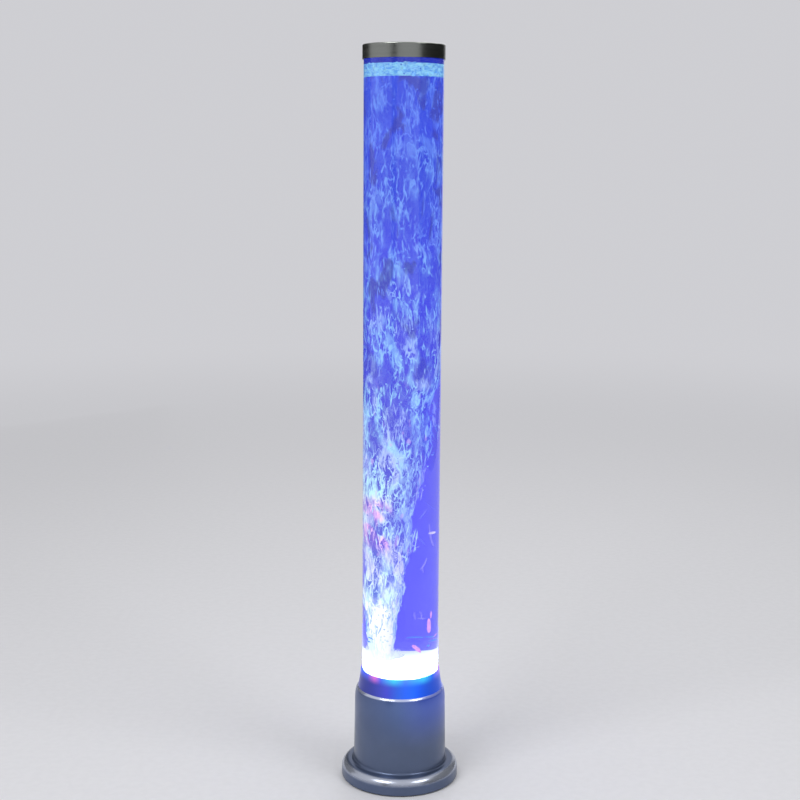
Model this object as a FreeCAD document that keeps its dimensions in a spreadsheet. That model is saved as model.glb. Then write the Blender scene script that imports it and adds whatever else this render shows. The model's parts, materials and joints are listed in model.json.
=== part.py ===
import FreeCAD, Part
import math
import os
import re

import Sketcher

# A bubble tube floor lamp: a tall clear tube of water stands in a tapered neck on a round
# base. The base holds a ring of coloured lights under the tube's clear floor, and a diaphragm
# air pump that blows bubbles through a stone beside the tube's axis.
# Millimetres, +Z up. The front faces -Y, and the origin is on the ground under the tube's axis.

V = FreeCAD.Vector

# Names that end in _level are heights above the ground, _od and _bore are diameters, and
# _ring is the radius of a circle of equal pieces.
SIZES = {
    # clear tube, its floor and the water
    "tube_od": 100,
    "tube_wall": 3,
    "tube_level": 137,
    "tube_length": 809,
    "floor_thickness": 26,
    "gasket_thickness": 2,
    "water_level": 915,
    "water_gap": 0.1,
    # cap
    "cap_od": 102.8,
    "cap_top_level": 951,
    "cap_height": 18,
    "cap_wall": 1.05,
    "cap_plate": 1.4,
    "cap_edge": 1.6,
    "cap_vent_bore": 5,
    "insert_od": 93.4,
    "insert_wall": 5,
    "insert_depth": 11.4,
    "insert_flange_od": 99.6,
    "insert_clearance": 0.1,
    "seal_section": 2.6,
    "seal_drop": 5,
    # neck that holds the tube
    "collar_top_level": 149,
    "collar_top_od": 103.6,
    "collar_skirt_od": 110.8,
    "collar_plug_od": 109.2,
    "collar_bore": 100.3,
    "collar_lip": 0.8,
    "collar_sweep": 160,
    "collar_ledge_bore": 82,
    "collar_ledge": 4,
    "collar_ledge_level": 135,
    "collar_foot_bore": 95,
    "collar_joint": 0.2,
    # bell of the base
    "shell_level": 2,
    "shell_top_level": 124.5,
    "shell_wall": 2.5,
    "foot_od": 154,
    "foot_side_level": 12,
    "foot_round": 11,
    "ledge_radius": 64.5,
    "ledge_fillet": 3.5,
    "wall_top_level": 108,
    "wall_top_radius": 59.7,
    "shoulder_sweep": 55,
    "rim_level": 120.5,
    "rim_radius": 58.2,
    "rim_round": 7,
    "rim_top_radius": 55.6,
    "opening_radius": 55.1,
    "flange_level": 117.5,
    "flange_thickness": 3,
    "flange_bore": 92,
    "boss_ring": 66,
    "boss_radius": 4,
    "boss_top_level": 21.5,
    "pilot_radius": 1.2,
    "pilot_depth": 10,
    "quarter": 4,
    # bottom cover and its feet
    "cover_od": 148.4,
    "cover_level": 2.2,
    "cover_top_level": 5,
    "cover_rib_od": 116,
    "cover_rib": 2,
    "cover_rib_height": 3,
    "vent_count": 16,
    "vent_inner": 22,
    "vent_outer": 38,
    "vent_width": 3,
    "pad_od": 16,
    "pad_foot_od": 14.6,
    "pad_ring": 60,
    "pad_recess": 0.5,
    "pad_chamfer": 0.7,
    # screws
    "screw_hole_radius": 1.7,
    "screw_head_radius": 2.8,
    "screw_head": 1.6,
    "screw_sink_radius": 3.1,
    "cover_screw_length": 11,
    "collar_screw_count": 3,
    "collar_screw_ring": 51,
    "collar_screw_length": 9,
    "small_screw_radius": 1,
    "small_screw_head_radius": 2,
    "small_screw_head": 1.3,
    # light board under the tube floor
    "led_board_od": 93.6,
    "led_board_thickness": 1.6,
    "led_count": 12,
    "led_ring": 33,
    "led_width": 5,
    "led_height": 1.6,
    "led_screw_ring": 44,
    "led_screw_length": 4.5,
    # air nozzle and stone
    "nozzle_offset": 18,
    "nozzle_radius": 3.8,
    "nozzle_bore_radius": 1.2,
    "nozzle_flange_radius": 7,
    "nozzle_flange": 3,
    "nozzle_seal": 1,
    "nozzle_body_level": 115,
    "nozzle_tail_level": 105,
    "nozzle_reach": 10,
    "nut_across_corners": 14,
    "nut_height": 4,
    "stone_radius": 7,
    "stone_height": 13,
    "stone_round": 1.5,
    "water_hollow_radius": 7.6,
    # stream of bubbles over the stone: its sections are stream_step apart, and each swells or draws
    # in by stream_swell and strays from the middle line by stream_stray
    "stream_step": 35,
    "stream_foot_radius": 9.5,
    "stream_full_radius": 41,
    "stream_swell": 1.5,
    "stream_stray": 2.6,
    # air line
    "barb_radius": 2.2,
    "barb_crest_radius": 2.5,
    "barb_pitch": 3,
    "hose_radius": 3.2,
    "hose_bore_radius": 2.25,
    "valve_offset": 12,
    "valve_level": 64,
    "valve_cup_level": 72,
    "valve_joint_level": 76,
    "valve_cap_level": 80,
    "valve_top_level": 88,
    "valve_radius": 9,
    "valve_wall": 2,
    "valve_seat_radius": 3,
    "valve_seat": 0.5,
    "valve_disc_radius": 6,
    "valve_disc": 1,
    "valve_disc_gap": 0.05,
    "outlet_offset": 6,
    "outlet_top_level": 46,
    # diaphragm pump
    "pump_length": 84,
    "pump_width": 46,
    "pump_round": 6,
    "pump_level": 9,
    "pump_lid_level": 38,
    "pump_lid": 2.2,
    "pump_wall": 2,
    "pump_lip": 1.5,
    "pump_lip_gap": 0.2,
    "pump_post": 5,
    "lug_reach": 47,
    "lug_spread": 12,
    "lug_radius": 6,
    "lug_level": 11,
    "lug_thickness": 3,
    "grommet_radius": 5,
    "grommet_neck_radius": 3.5,
    "grommet_flange": 1.5,
    "post_radius": 2,
    "arm_level": 24,
    "arm_thickness": 3,
    "arm_width": 10,
    "arm_head": 2.5,
    "arm_head_width": 16,
    "arm_head_height": 17,
    "magnet_width": 14,
    "magnet_height": 7,
    "magnet_thickness": 4,
    "magnet_spread": 4.3,
    "pole_gap": 1,
    "core_front": 20,
    "core_back": 38,
    "core_yoke": 4,
    "core_half_height": 10.5,
    "core_centre_half": 3,
    "core_slot": 3.5,
    "core_width": 16,
    "coil_length": 12.5,
    "coil_gap": 0.2,
    "pivot_offset": 33,
    "pivot_radius": 1.5,
    "pivot_gap": 0.05,
    "pivot_length": 26,
    "eye_radius": 4,
    "cheek_thickness": 4,
    "cheek_spread": 11,
    "bellows_radius": 10,
    "bellows_small_radius": 6,
    "bellows_wall": 1,
    "bellows_seat": 1.5,
    "head_level": 32,
    "head_radius": 12,
    "flap_radius": 3,
    "flap_thickness": 0.6,
    "flap_spread": 4,
    "flap_pocket": 1.2,
    "flap_pocket_radius": 3.4,
    # control board behind the pump
    "board_face": 42,
    "board_thickness": 1.6,
    "board_half_width": 29,
    "board_level": 46,
    "board_top_level": 98,
    "board_boss_x": 22,
    "board_boss_low": 51,
    "board_boss_high": 93,
    "board_boss_end": 54.1,
    "board_boss_radius": 3,
    "connector_width": 8,
    "connector_height": 6,
    "connector_depth": 7,
    "capacitor_radius": 4,
    "capacitor_length": 11,
    "chip_width": 8,
    "chip_height": 5,
    "chip_thickness": 1.6,
    # push button at the rear
    "button_level": 66,
    "button_radius": 4.9,
    "button_hole_radius": 5.2,
    "button_flange_radius": 6.5,
    "button_flange": 1.5,
    "button_flange_end": 56.9,
    "button_stem_radius": 2.5,
    "button_stem_start": 51,
    "button_end": 62.2,
    "button_round": 0.8,
    "switch_width": 6,
    "switch_depth": 4,
    "plunger_radius": 1.5,
    "plunger_bore_radius": 1.8,
    "plunger_start": 46.2,
    # power inlet at the rear
    "jack_level": 36,
    "jack_thread_radius": 4,
    "jack_hole_radius": 4.15,
    "jack_body_radius": 5.5,
    "jack_body_start": 46,
    "jack_shoulder": 57.8,
    "jack_end": 63,
    "jack_bore_radius": 3.2,
    "jack_bore_depth": 10,
    "jack_pin_radius": 1.05,
    "jack_pin_end": 62,
    "jack_tab": 5,
    "jack_tab_width": 1.6,
    "jack_tab_spread": 2.6,
    "jack_seat": 60,
    "jack_seat_radius": 6.6,
    "jack_nut_radius": 6,
    "jack_nut": 2,
    # leads
    "lead_radius": 0.75,
    "lead_jack_rise": 56,
    "lead_jack_turn": 25,
    "lead_pump_x": 24,
    "lead_pump_y": 10,
    "lead_pump_level": 60,
    "lead_pump_end": 30.5,
    "lead_light_x": 4,
    "lead_light_y": 22,
    "lead_light_level": 86,
}

# Heights and radii that several pieces share, worked out from the sizes above.
TUBE_RADIUS = "tube_od / 2"
TUBE_BORE = "(tube_od / 2 - tube_wall)"
TUBE_TOP = "(tube_level + tube_length)"
FLOOR_TOP = "(tube_level + floor_thickness)"
NOZZLE_TOP = "(tube_level + floor_thickness + nozzle_reach)"
STONE_TOP = "(tube_level + floor_thickness + nut_height + stone_height)"
SEAT = "(flange_level + flange_thickness)"
LEDGE = "(foot_side_level + foot_round)"
LEDGE_UNDER = "(foot_side_level + foot_round - shell_wall)"
WALL_FOOT = "(ledge_radius - ledge_fillet)"
LED_BOARD_TOP = "(collar_ledge_level - collar_ledge)"
BOARD_BACK = "(board_face + board_thickness)"
LUG_TOP = "(lug_level + lug_thickness)"
GROMMET_TOP = "(lug_level + lug_thickness + grommet_flange)"
PUMP_LIP_OUT = "pump_wall + pump_lip_gap"
ARM_TOP = "(arm_level + arm_thickness / 2)"
HEAD_END = "(core_front - pole_gap - magnet_thickness)"

doc = FreeCAD.newDocument("BubbleTubeLamp")
sheet = doc.addObject("Spreadsheet::Sheet", "Sheet")
for row, (name, value) in enumerate(SIZES.items(), 1):
    sheet.set("A%d" % row, name)
    sheet.set("B%d" % row, str(value))
    sheet.setAlias("B%d" % row, name)
doc.recompute()


# ---------------------------------------------------------------- sizes and sketches

def linked(text):
    """Puts the sheet's name before each of its sizes in an expression."""
    return re.sub(
        r"[a-z_]+",
        lambda word: ("Sheet." if word.group() in SIZES else "") + word.group(),
        text,
    )


def size(text):
    """The present value of an expression."""
    return float(sheet.evalExpression(linked(text)))


def bind(target, name, text):
    target.setExpression(name, linked(text))


def point(x, y):
    return V(size(x), size(y), 0)


def new_body(name, x="0", y="0", z="0"):
    body = doc.addObject("PartDesign::Body", name)
    body.Label = name
    for letter, text in zip("xyz", (x, y, z)):
        bind(body, "Placement.Base." + letter, text)
    return body


def new_sketch(body, plane, start="0"):
    """A sketch on one of the body's own planes, or parallel to it at a distance."""
    sketch = body.newObject("Sketcher::SketchObject", "Sketch")
    origin_plane = next(o for o in body.Origin.OriginFeatures if o.Role == plane)
    sketch.AttachmentSupport = [(origin_plane, "")]
    sketch.MapMode = "FlatFace"
    bind(sketch, "AttachmentOffset.Base.z", start)
    return sketch


def hold(sketch, kind, where, text):
    """Adds a dimension to a sketch and binds it to the sheet."""
    number = sketch.addConstraint(Sketcher.Constraint(kind, *where, size(text)))
    bind(sketch, "Constraints[%d]" % number, text)


def place_end(sketch, edge, end, x, y):
    hold(sketch, "DistanceX", (-1, 1, edge, end), x)
    hold(sketch, "DistanceY", (-1, 1, edge, end), y)


def circle(sketch, x, y, radius):
    edge = sketch.addGeometry(Part.Circle(point(x, y), V(0, 0, 1), size(radius)))
    place_end(sketch, edge, 3, x, y)
    hold(sketch, "Radius", (edge,), radius)


def arc_edge(start, end, radius, turn):
    """The short arc from start to end. It is stored counter-clockwise, so a right turn runs back."""
    if turn == "right":
        start, end = end, start
    chord = end - start
    rise = math.sqrt(max(0.0, radius ** 2 - chord.Length ** 2 / 4))
    left = V(-chord.y, chord.x, 0).normalize()
    centre = (start + end) * 0.5 + left * rise
    first = math.atan2(start.y - centre.y, start.x - centre.x)
    last = math.atan2(end.y - centre.y, end.x - centre.x)
    if last < first:
        last += 2 * math.pi
    return Part.ArcOfCircle(Part.Circle(centre, V(0, 0, 1), radius), first, last)


def outline(sketch, corners):
    """A closed outline. A corner (x, y) ends a straight edge, and a corner
    (x, y, radius, turn) ends an arc that turns left or right on its way there."""
    edges = []
    for number, corner in enumerate(corners):
        start = point(*corners[number - 1][:2])
        end = point(*corner[:2])
        if len(corner) == 2:
            edge = sketch.addGeometry(Part.LineSegment(start, end))
            edges.append((edge, 1, 2))
        else:
            edge = sketch.addGeometry(arc_edge(start, end, size(corner[2]), corner[3]))
            hold(sketch, "Radius", (edge,), corner[2])
            edges.append((edge, 1, 2) if corner[3] == "left" else (edge, 2, 1))
        place_end(sketch, edge, edges[-1][2], *corner[:2])
    for number, (edge, first, _) in enumerate(edges):
        before, _, last = edges[number - 1]
        sketch.addConstraint(Sketcher.Constraint("Coincident", before, last, edge, first))


def rectangle(sketch, left, low, right, high):
    outline(sketch, [(left, low), (right, low), (right, high), (left, high)])


def round_rectangle(sketch, half_x, half_y, radius):
    """A rectangle about the origin with round corners."""
    x, y, r = "(%s)" % half_x, "(%s)" % half_y, "(%s)" % radius
    outline(sketch, [
        (x + " - " + r, "-" + y),
        (x, r + " - " + y, r, "left"),
        (x, y + " - " + r),
        (x + " - " + r, y, r, "left"),
        (r + " - " + x, y),
        ("-" + x, y + " - " + r, r, "left"),
        ("-" + x, r + " - " + y),
        (r + " - " + x, "-" + y, r, "left"),
    ])


# ---------------------------------------------------------------- features

def turned(body, corners, axis="V_Axis", plane="XZ_Plane"):
    """Turns an outline of (radius, height) corners about an axis of the body."""
    sketch = new_sketch(body, plane)
    outline(sketch, corners)
    feature = body.newObject("PartDesign::Revolution", "Turned")
    feature.Profile = sketch
    feature.ReferenceAxis = (sketch, [axis])
    feature.Angle = 360
    return feature


def extruded(body, kind, plane, start, length, draw, backwards=False, both_ways=False):
    sketch = new_sketch(body, plane, start)
    draw(sketch)
    feature = body.newObject("PartDesign::" + kind, kind)
    feature.Profile = sketch
    bind(feature, "Length", length)
    feature.Reversed = backwards
    if both_ways:
        feature.SideType = "Symmetric"
    return feature


def pad_up(body, low, length, draw):
    return extruded(body, "Pad", "XY_Plane", low, length, draw)


def pocket_up(body, low, length, draw):
    return extruded(body, "Pocket", "XY_Plane", low, length, draw, backwards=True)


def pad_rear(body, start, length, draw):
    """A pad that runs towards the rear, from the given Y. The sketch shows X and Z."""
    return extruded(body, "Pad", "XZ_Plane", "-" + start, length, draw, backwards=True)


def pocket_rear(body, start, length, draw):
    return extruded(body, "Pocket", "XZ_Plane", "-" + start, length, draw)


def ring_of(body, features, count):
    """Repeats features at equal angles about the body's upright axis."""
    pattern = body.newObject("PartDesign::PolarPattern", "Ring")
    pattern.Originals = features
    pattern.Axis = (features[0].Profile[0], ["N_Axis"])
    pattern.Angle = 360
    bind(pattern, "Occurrences", count)
    body.Tip = pattern
    return pattern


def routed(points):
    """Straight runs joined by tangent arcs, each as large as its two runs allow."""
    places = [V(*(size(text) for text in place)) for place in points]
    edges = []
    at = places[0]
    for before, corner, after in zip(places, places[1:], places[2:]):
        arrive = corner - before
        leave = after - corner
        half_turn = arrive.getAngle(leave) / 2
        reach = 0.45 * min(arrive.Length, leave.Length)
        radius = reach / math.tan(half_turn)
        arrive.normalize()
        leave.normalize()
        inward = (leave - arrive).normalize()
        middle = corner + inward * (radius / math.cos(half_turn) - radius)
        first = corner - arrive * reach
        last = corner + leave * reach
        edges.append(Part.LineSegment(at, first).toShape())
        edges.append(Part.Arc(first, middle, last).toShape())
        at = last
        print("bend radius %.1f mm" % radius)
    edges.append(Part.LineSegment(at, places[-1]).toShape())
    return Part.Wire(edges)


def swept(route, radius):
    """A round bar along a route. Its volume is checked against its section and length."""
    start = route.Edges[0].valueAt(route.Edges[0].FirstParameter)
    heading = route.Edges[0].tangentAt(route.Edges[0].FirstParameter)
    section = Part.Wire(Part.makeCircle(radius, start, heading))
    bar = route.makePipeShell([section], True, False)
    wanted = math.pi * radius ** 2 * route.Length
    print("swept volume is %.4f of section times length" % (bar.Volume / wanted))
    return bar


def free_part(name, shape):
    part = doc.addObject("Part::Feature", name)
    part.Label = name
    part.Shape = shape
    part.Placement = FreeCAD.Placement()
    return part


# ---------------------------------------------------------------- tube and cap

def make_tube():
    body = new_body("tube", z="tube_level")
    turned(body, [
        (TUBE_BORE, "0"),
        (TUBE_RADIUS, "0"),
        (TUBE_RADIUS, "tube_length"),
        (TUBE_BORE, "tube_length"),
    ])


def make_tube_floor():
    """A thick clear plug bonded into the tube's lower end, drilled for the air nozzle. It stands
    above the neck and carries the light up into the water."""
    body = new_body("tube_floor", z="tube_level")
    pad_up(body, "0", "floor_thickness", lambda s: circle(s, "0", "0", TUBE_BORE))
    pocket_up(body, "0", "floor_thickness",
              lambda s: circle(s, "-nozzle_offset", "0", "nozzle_radius"))


def make_tube_gasket():
    body = new_body("tube_gasket", z="collar_ledge_level")
    turned(body, [
        (TUBE_BORE + " - 1", "0"),
        (TUBE_RADIUS, "0"),
        (TUBE_RADIUS, "gasket_thickness"),
        (TUBE_BORE + " - 1", "gasket_thickness"),
    ])


STREAM_STEPS = 21
STREAM_FULL_STEP = 12
STRAY_TURN = 100


def stream(body, loft_kind):
    """The form that the bubbles rise in, added to a body or cut from it. It leans out over the
    stone, widens until it nearly fills the bore, and billows all the way to the surface."""
    sections = []
    for step in range(STREAM_STEPS + 1):
        share = "(%d / %d)" % (min(step, STREAM_FULL_STEP), STREAM_FULL_STEP)
        stray = "stream_stray * %s" % ("0" if step == 0 else "1")
        swell = "0" if step == 0 else "stream_swell * %d" % (-1) ** step
        turn = "%d deg" % (STRAY_TURN * step)
        sketch = new_sketch(body, "XY_Plane", STONE_TOP + " + stream_step * %d" % step)
        circle(
            sketch,
            "%s * cos(%s) - nozzle_offset * (1 - %s ^ 2) ^ 1.5" % (stray, turn, share),
            "%s * sin(%s)" % (stray, turn),
            "stream_foot_radius + (stream_full_radius - stream_foot_radius) * %s ^ 0.75 + %s"
            % (share, swell),
        )
        sections.append(sketch)
    loft = body.newObject("PartDesign::" + loft_kind, "Stream")
    loft.Profile = sections[0]
    loft.Sections = sections[1:]
    loft.Ruled = True


def make_water_column():
    """The clear water, hollow round the nozzle's nut, the stone and the stream of bubbles."""
    body = new_body("water_column")
    pad_up(body, FLOOR_TOP, "water_level - " + FLOOR_TOP,
           lambda s: circle(s, "0", "0", TUBE_BORE + " - water_gap"))
    pocket_up(body, FLOOR_TOP, "nut_height + stone_height",
              lambda s: circle(s, "-nozzle_offset", "0", "water_hollow_radius"))
    stream(body, "SubtractiveLoft")


def make_bubble_column():
    """The part of the water that the bubbles fill, from the stone to the surface."""
    body = new_body("bubble_column")
    stream(body, "AdditiveLoft")


def make_top_cap():
    """A spun cup over the tube's end, with a small hole that lets the air out."""
    body = new_body("top_cap", z="cap_top_level - cap_height")
    outer = "cap_od / 2"
    inner = "(cap_od / 2 - cap_wall)"
    turned(body, [
        ("cap_vent_bore / 2", "cap_height - cap_plate"),
        (inner, "cap_height - cap_plate"),
        (inner, "0"),
        (outer, "0"),
        (outer, "cap_height - cap_edge"),
        (outer + " - cap_edge", "cap_height", "cap_edge", "left"),
        ("cap_vent_bore / 2", "cap_height"),
    ])


def make_cap_insert():
    """The plug ring inside the cap: it rests on the tube's end and carries the O-ring."""
    body = new_body("cap_insert", z=TUBE_TOP)
    outer = "insert_od / 2"
    inner = "insert_od / 2 - insert_wall"
    groove = TUBE_BORE + " - insert_clearance - seal_section"
    top = "cap_top_level - cap_plate - " + TUBE_TOP
    turned(body, [
        (inner, "-insert_depth"),
        (outer, "-insert_depth"),
        (outer, "-seal_drop - seal_section / 2"),
        (groove, "-seal_drop - seal_section / 2"),
        (groove, "seal_section / 2 - seal_drop"),
        (outer, "seal_section / 2 - seal_drop"),
        (outer, "insert_clearance"),
        ("insert_flange_od / 2", "insert_clearance"),
        ("insert_flange_od / 2", top),
        (inner, top),
    ])


def make_cap_seal():
    """An O-ring in the plug ring's groove, almost as wide as the tube's bore."""
    body = new_body("cap_seal", z=TUBE_TOP + " - seal_drop")
    sketch = new_sketch(body, "XZ_Plane")
    circle(sketch, TUBE_BORE + " - insert_clearance - seal_section / 2", "0", "seal_section / 2")
    ring = body.newObject("PartDesign::Revolution", "Turned")
    ring.Profile = sketch
    ring.ReferenceAxis = (sketch, ["V_Axis"])
    ring.Angle = 360


# ---------------------------------------------------------------- base mouldings

def make_tube_collar():
    """The tapered neck: its plug drops into the bell, and its ledge carries the tube."""
    body = new_body("tube_collar")
    ledge = "collar_ledge_level"
    joint = "shell_top_level + collar_joint"
    turned(body, [
        ("collar_foot_bore / 2", SEAT),
        ("collar_plug_od / 2", SEAT),
        ("collar_plug_od / 2", joint),
        ("collar_skirt_od / 2", joint),
        ("collar_top_od / 2", "collar_top_level - collar_lip", "collar_sweep", "right"),
        ("collar_top_od / 2 - collar_lip", "collar_top_level", "collar_lip", "left"),
        ("collar_bore / 2", "collar_top_level"),
        ("collar_bore / 2", ledge),
        ("collar_ledge_bore / 2", ledge),
        ("collar_ledge_bore / 2", LED_BOARD_TOP),
        ("collar_foot_bore / 2", LED_BOARD_TOP),
    ])
    pilots = pocket_up(body, SEAT, "pilot_depth - 1",
                       lambda s: circle(s, "collar_screw_ring", "0", "pilot_radius"))
    ring_of(body, [pilots], "collar_screw_count")
    board_pilots = pocket_up(body, LED_BOARD_TOP, "led_screw_length - led_board_thickness",
                             lambda s: circle(s, "0", "led_screw_ring", "small_screw_radius"))
    ring_of(body, [board_pilots], "collar_screw_count")


def board_corners(sketch, radius):
    for x in ("-board_boss_x", "board_boss_x"):
        for z in ("board_boss_low", "board_boss_high"):
            circle(sketch, x, z, radius)


def make_base_shell():
    """The bell: rounded foot, nearly straight wall, soft shoulder and an inward flange."""
    body = new_body("base_shell")
    inner_foot = "foot_od / 2 - shell_wall"
    inner_round = "(foot_round - shell_wall)"
    wall_inner = "(wall_top_radius - shell_wall)"
    turned(body, [
        (inner_foot, "shell_level"),
        ("foot_od / 2", "shell_level"),
        ("foot_od / 2", "foot_side_level"),
        ("foot_od / 2 - foot_round", LEDGE, "foot_round", "left"),
        ("ledge_radius", LEDGE),
        (WALL_FOOT, LEDGE + " + ledge_fillet", "ledge_fillet", "right"),
        ("wall_top_radius", "wall_top_level"),
        ("rim_radius", "rim_level", "shoulder_sweep", "left"),
        ("rim_top_radius", "shell_top_level", "rim_round", "left"),
        ("opening_radius", "shell_top_level"),
        ("opening_radius", SEAT),
        ("flange_bore / 2", SEAT),
        ("flange_bore / 2", "flange_level"),
        (wall_inner + " - 0.2", "flange_level"),
        (wall_inner, "wall_top_level"),
        (WALL_FOOT + " - shell_wall", LEDGE_UNDER),
        ("foot_od / 2 - foot_round", LEDGE_UNDER),
        (inner_foot, "foot_side_level", inner_round, "right"),
    ])
    # Bosses for the bottom cover's screws, under the foot.
    boss = pad_up(body, "cover_top_level", "boss_top_level - cover_top_level",
                  lambda s: circle(s, "boss_ring", "0", "boss_radius"))
    ring_of(body, [boss], "quarter")
    pilot = pocket_up(body, "cover_top_level", "pilot_depth",
                      lambda s: circle(s, "boss_ring", "0", "pilot_radius"))
    ring_of(body, [pilot], "quarter")
    # Holes for the collar's screws, in the flange.
    hole = pocket_up(body, "flange_level", "flange_thickness",
                     lambda s: circle(s, "collar_screw_ring", "0", "screw_hole_radius"))
    ring_of(body, [hole], "collar_screw_count")
    # Bosses for the control board, on the rear wall.
    pad_rear(body, BOARD_BACK, "board_boss_end - " + BOARD_BACK,
             lambda s: board_corners(s, "board_boss_radius"))
    pocket_rear(body, BOARD_BACK, "pilot_depth - 2",
                lambda s: board_corners(s, "small_screw_radius"))
    # Rear openings: the button's hole, the inlet's hole and the flat that its nut seats on.
    pocket_rear(body, "jack_body_start", "foot_od / 2 - jack_body_start",
                lambda s: circle(s, "0", "button_level", "button_hole_radius"))
    pocket_rear(body, "jack_body_start", "foot_od / 2 - jack_body_start",
                lambda s: circle(s, "0", "jack_level", "jack_hole_radius"))
    pocket_rear(body, "jack_seat", "foot_od / 2 - jack_seat",
                lambda s: circle(s, "0", "jack_level", "jack_seat_radius"))


def make_bottom_cover():
    """The black closing disc, with a stiffening rib, air slots, screw sinks, pad recesses and
    the four posts that carry the pump."""
    body = new_body("bottom_cover")
    rib_outer = "cover_rib_od / 2"
    rib_inner = "cover_rib_od / 2 - cover_rib"
    turned(body, [
        ("0", "cover_level"),
        ("cover_od / 2", "cover_level"),
        ("cover_od / 2", "cover_top_level"),
        (rib_outer, "cover_top_level"),
        (rib_outer, "cover_top_level + cover_rib_height"),
        (rib_inner, "cover_top_level + cover_rib_height"),
        (rib_inner, "cover_top_level"),
        ("0", "cover_top_level"),
    ])
    thickness = "cover_top_level - cover_level"
    hole = pocket_up(body, "cover_level", thickness,
                     lambda s: circle(s, "boss_ring", "0", "screw_hole_radius"))
    sink = pocket_up(body, "cover_level", "screw_head + 0.2",
                     lambda s: circle(s, "boss_ring", "0", "screw_sink_radius"))
    ring_of(body, [hole, sink], "quarter")
    recess = pocket_up(body, "cover_level", "pad_recess",
                       lambda s: circle(s, "pad_ring * cos(45)", "pad_ring * sin(45)", "pad_od / 2"))
    ring_of(body, [recess], "quarter")
    slot = pocket_up(body, "cover_level", thickness,
                     lambda s: rectangle(s, "vent_inner", "-vent_width / 2",
                                         "vent_outer", "vent_width / 2"))
    ring_of(body, [slot], "vent_count")
    pad_up(body, "cover_top_level", GROMMET_TOP + " - cover_top_level",
           lambda s: lug_corners(s, "post_radius"))
    pocket_up(body, GROMMET_TOP + " - 6", "6", lambda s: lug_corners(s, "small_screw_radius"))


def make_rubber_feet():
    """Four soft pads, each with a slightly narrower sole."""
    body = new_body("rubber_feet")
    x = "pad_ring * cos(45)"
    y = "pad_ring * sin(45)"
    upper = pad_up(body, "pad_chamfer", "cover_level + pad_recess - pad_chamfer",
                   lambda s: circle(s, x, y, "pad_od / 2"))
    sole = pad_up(body, "0", "pad_chamfer", lambda s: circle(s, x, y, "pad_foot_od / 2"))
    ring_of(body, [upper, sole], "quarter")


def screw(body, x, y, head_level, length, radius, head_radius, head):
    """A pan-head screw that points up. Its head hangs below head_level."""
    shank = pad_up(body, head_level, length, lambda s: circle(s, x, y, radius))
    top = pad_up(body, head_level + " - " + head, head, lambda s: circle(s, x, y, head_radius))
    return [shank, top]


def make_bottom_screws():
    body = new_body("bottom_screws")
    parts = screw(body, "boss_ring", "0", "(cover_level + screw_head + 0.2)", "cover_screw_length",
                  "pilot_radius", "screw_head_radius", "screw_head")
    ring_of(body, parts, "quarter")


def make_collar_screws():
    body = new_body("collar_screws")
    parts = screw(body, "collar_screw_ring", "0", "flange_level", "collar_screw_length",
                  "pilot_radius", "screw_head_radius", "screw_head")
    ring_of(body, parts, "collar_screw_count")


# ---------------------------------------------------------------- light under the tube

def make_led_board():
    body = new_body("led_board", z=LED_BOARD_TOP + " - led_board_thickness")
    pad_up(body, "0", "led_board_thickness", lambda s: circle(s, "0", "0", "led_board_od / 2"))
    pocket_up(body, "0", "led_board_thickness",
              lambda s: circle(s, "-nozzle_offset", "0", "nozzle_flange_radius + 0.5"))
    hole = pocket_up(body, "0", "led_board_thickness",
                     lambda s: circle(s, "0", "led_screw_ring", "small_screw_radius"))
    ring_of(body, [hole], "collar_screw_count")


def make_leds():
    """Square surface-mounted lights in a ring."""
    body = new_body("leds", z=LED_BOARD_TOP)
    half = "led_width / 2"
    light = pad_up(body, "0", "led_height",
                   lambda s: rectangle(s, "led_ring - " + half, "-" + half,
                                       "led_ring + " + half, half))
    ring_of(body, [light], "led_count")


def make_led_board_screws():
    body = new_body("led_board_screws")
    parts = screw(body, "0", "led_screw_ring", "(" + LED_BOARD_TOP + " - led_board_thickness)",
                  "led_screw_length", "small_screw_radius", "small_screw_head_radius",
                  "small_screw_head")
    ring_of(body, parts, "collar_screw_count")


# ---------------------------------------------------------------- air line

def barbs(low, high, count=2):
    """Corners of a hose tail from its lower end up: each barb is a short cone."""
    if size(low) > size(high):
        step = "-barb_pitch"
    else:
        step = "barb_pitch"
    corners = [("barb_radius", low)]
    for number in range(count):
        crest = "%s + %s * %s" % (low, step, number + 1)
        corners.append(("barb_crest_radius", crest))
        corners.append(("barb_radius", crest))
    corners.append(("barb_radius", high))
    return corners


def make_air_nozzle():
    """Hose tail and flange under the tube floor, and a long thread up through it into the stone."""
    body = new_body("air_nozzle", x="-nozzle_offset")
    flange_top = "(tube_level - nozzle_seal)"
    turned(body, [
        ("nozzle_bore_radius", "nozzle_tail_level"),
        *barbs("nozzle_tail_level", "nozzle_body_level"),
        ("nozzle_radius", "nozzle_body_level"),
        ("nozzle_radius", flange_top + " - nozzle_flange"),
        ("nozzle_flange_radius", flange_top + " - nozzle_flange"),
        ("nozzle_flange_radius", flange_top),
        ("nozzle_radius", flange_top),
        ("nozzle_radius", NOZZLE_TOP),
        ("nozzle_bore_radius", NOZZLE_TOP),
    ])


def make_nozzle_seal():
    body = new_body("nozzle_seal", x="-nozzle_offset", z="tube_level - nozzle_seal")
    turned(body, [
        ("nozzle_radius", "0"),
        ("nozzle_flange_radius", "0"),
        ("nozzle_flange_radius", "nozzle_seal"),
        ("nozzle_radius", "nozzle_seal"),
    ])


def hexagon(sketch, radius):
    """A hexagon of the given corner radius about the origin."""
    outline(sketch, [
        ("%s * cos(%d)" % (radius, turn), "%s * sin(%d)" % (radius, turn))
        for turn in range(0, 360, 60)
    ])


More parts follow.
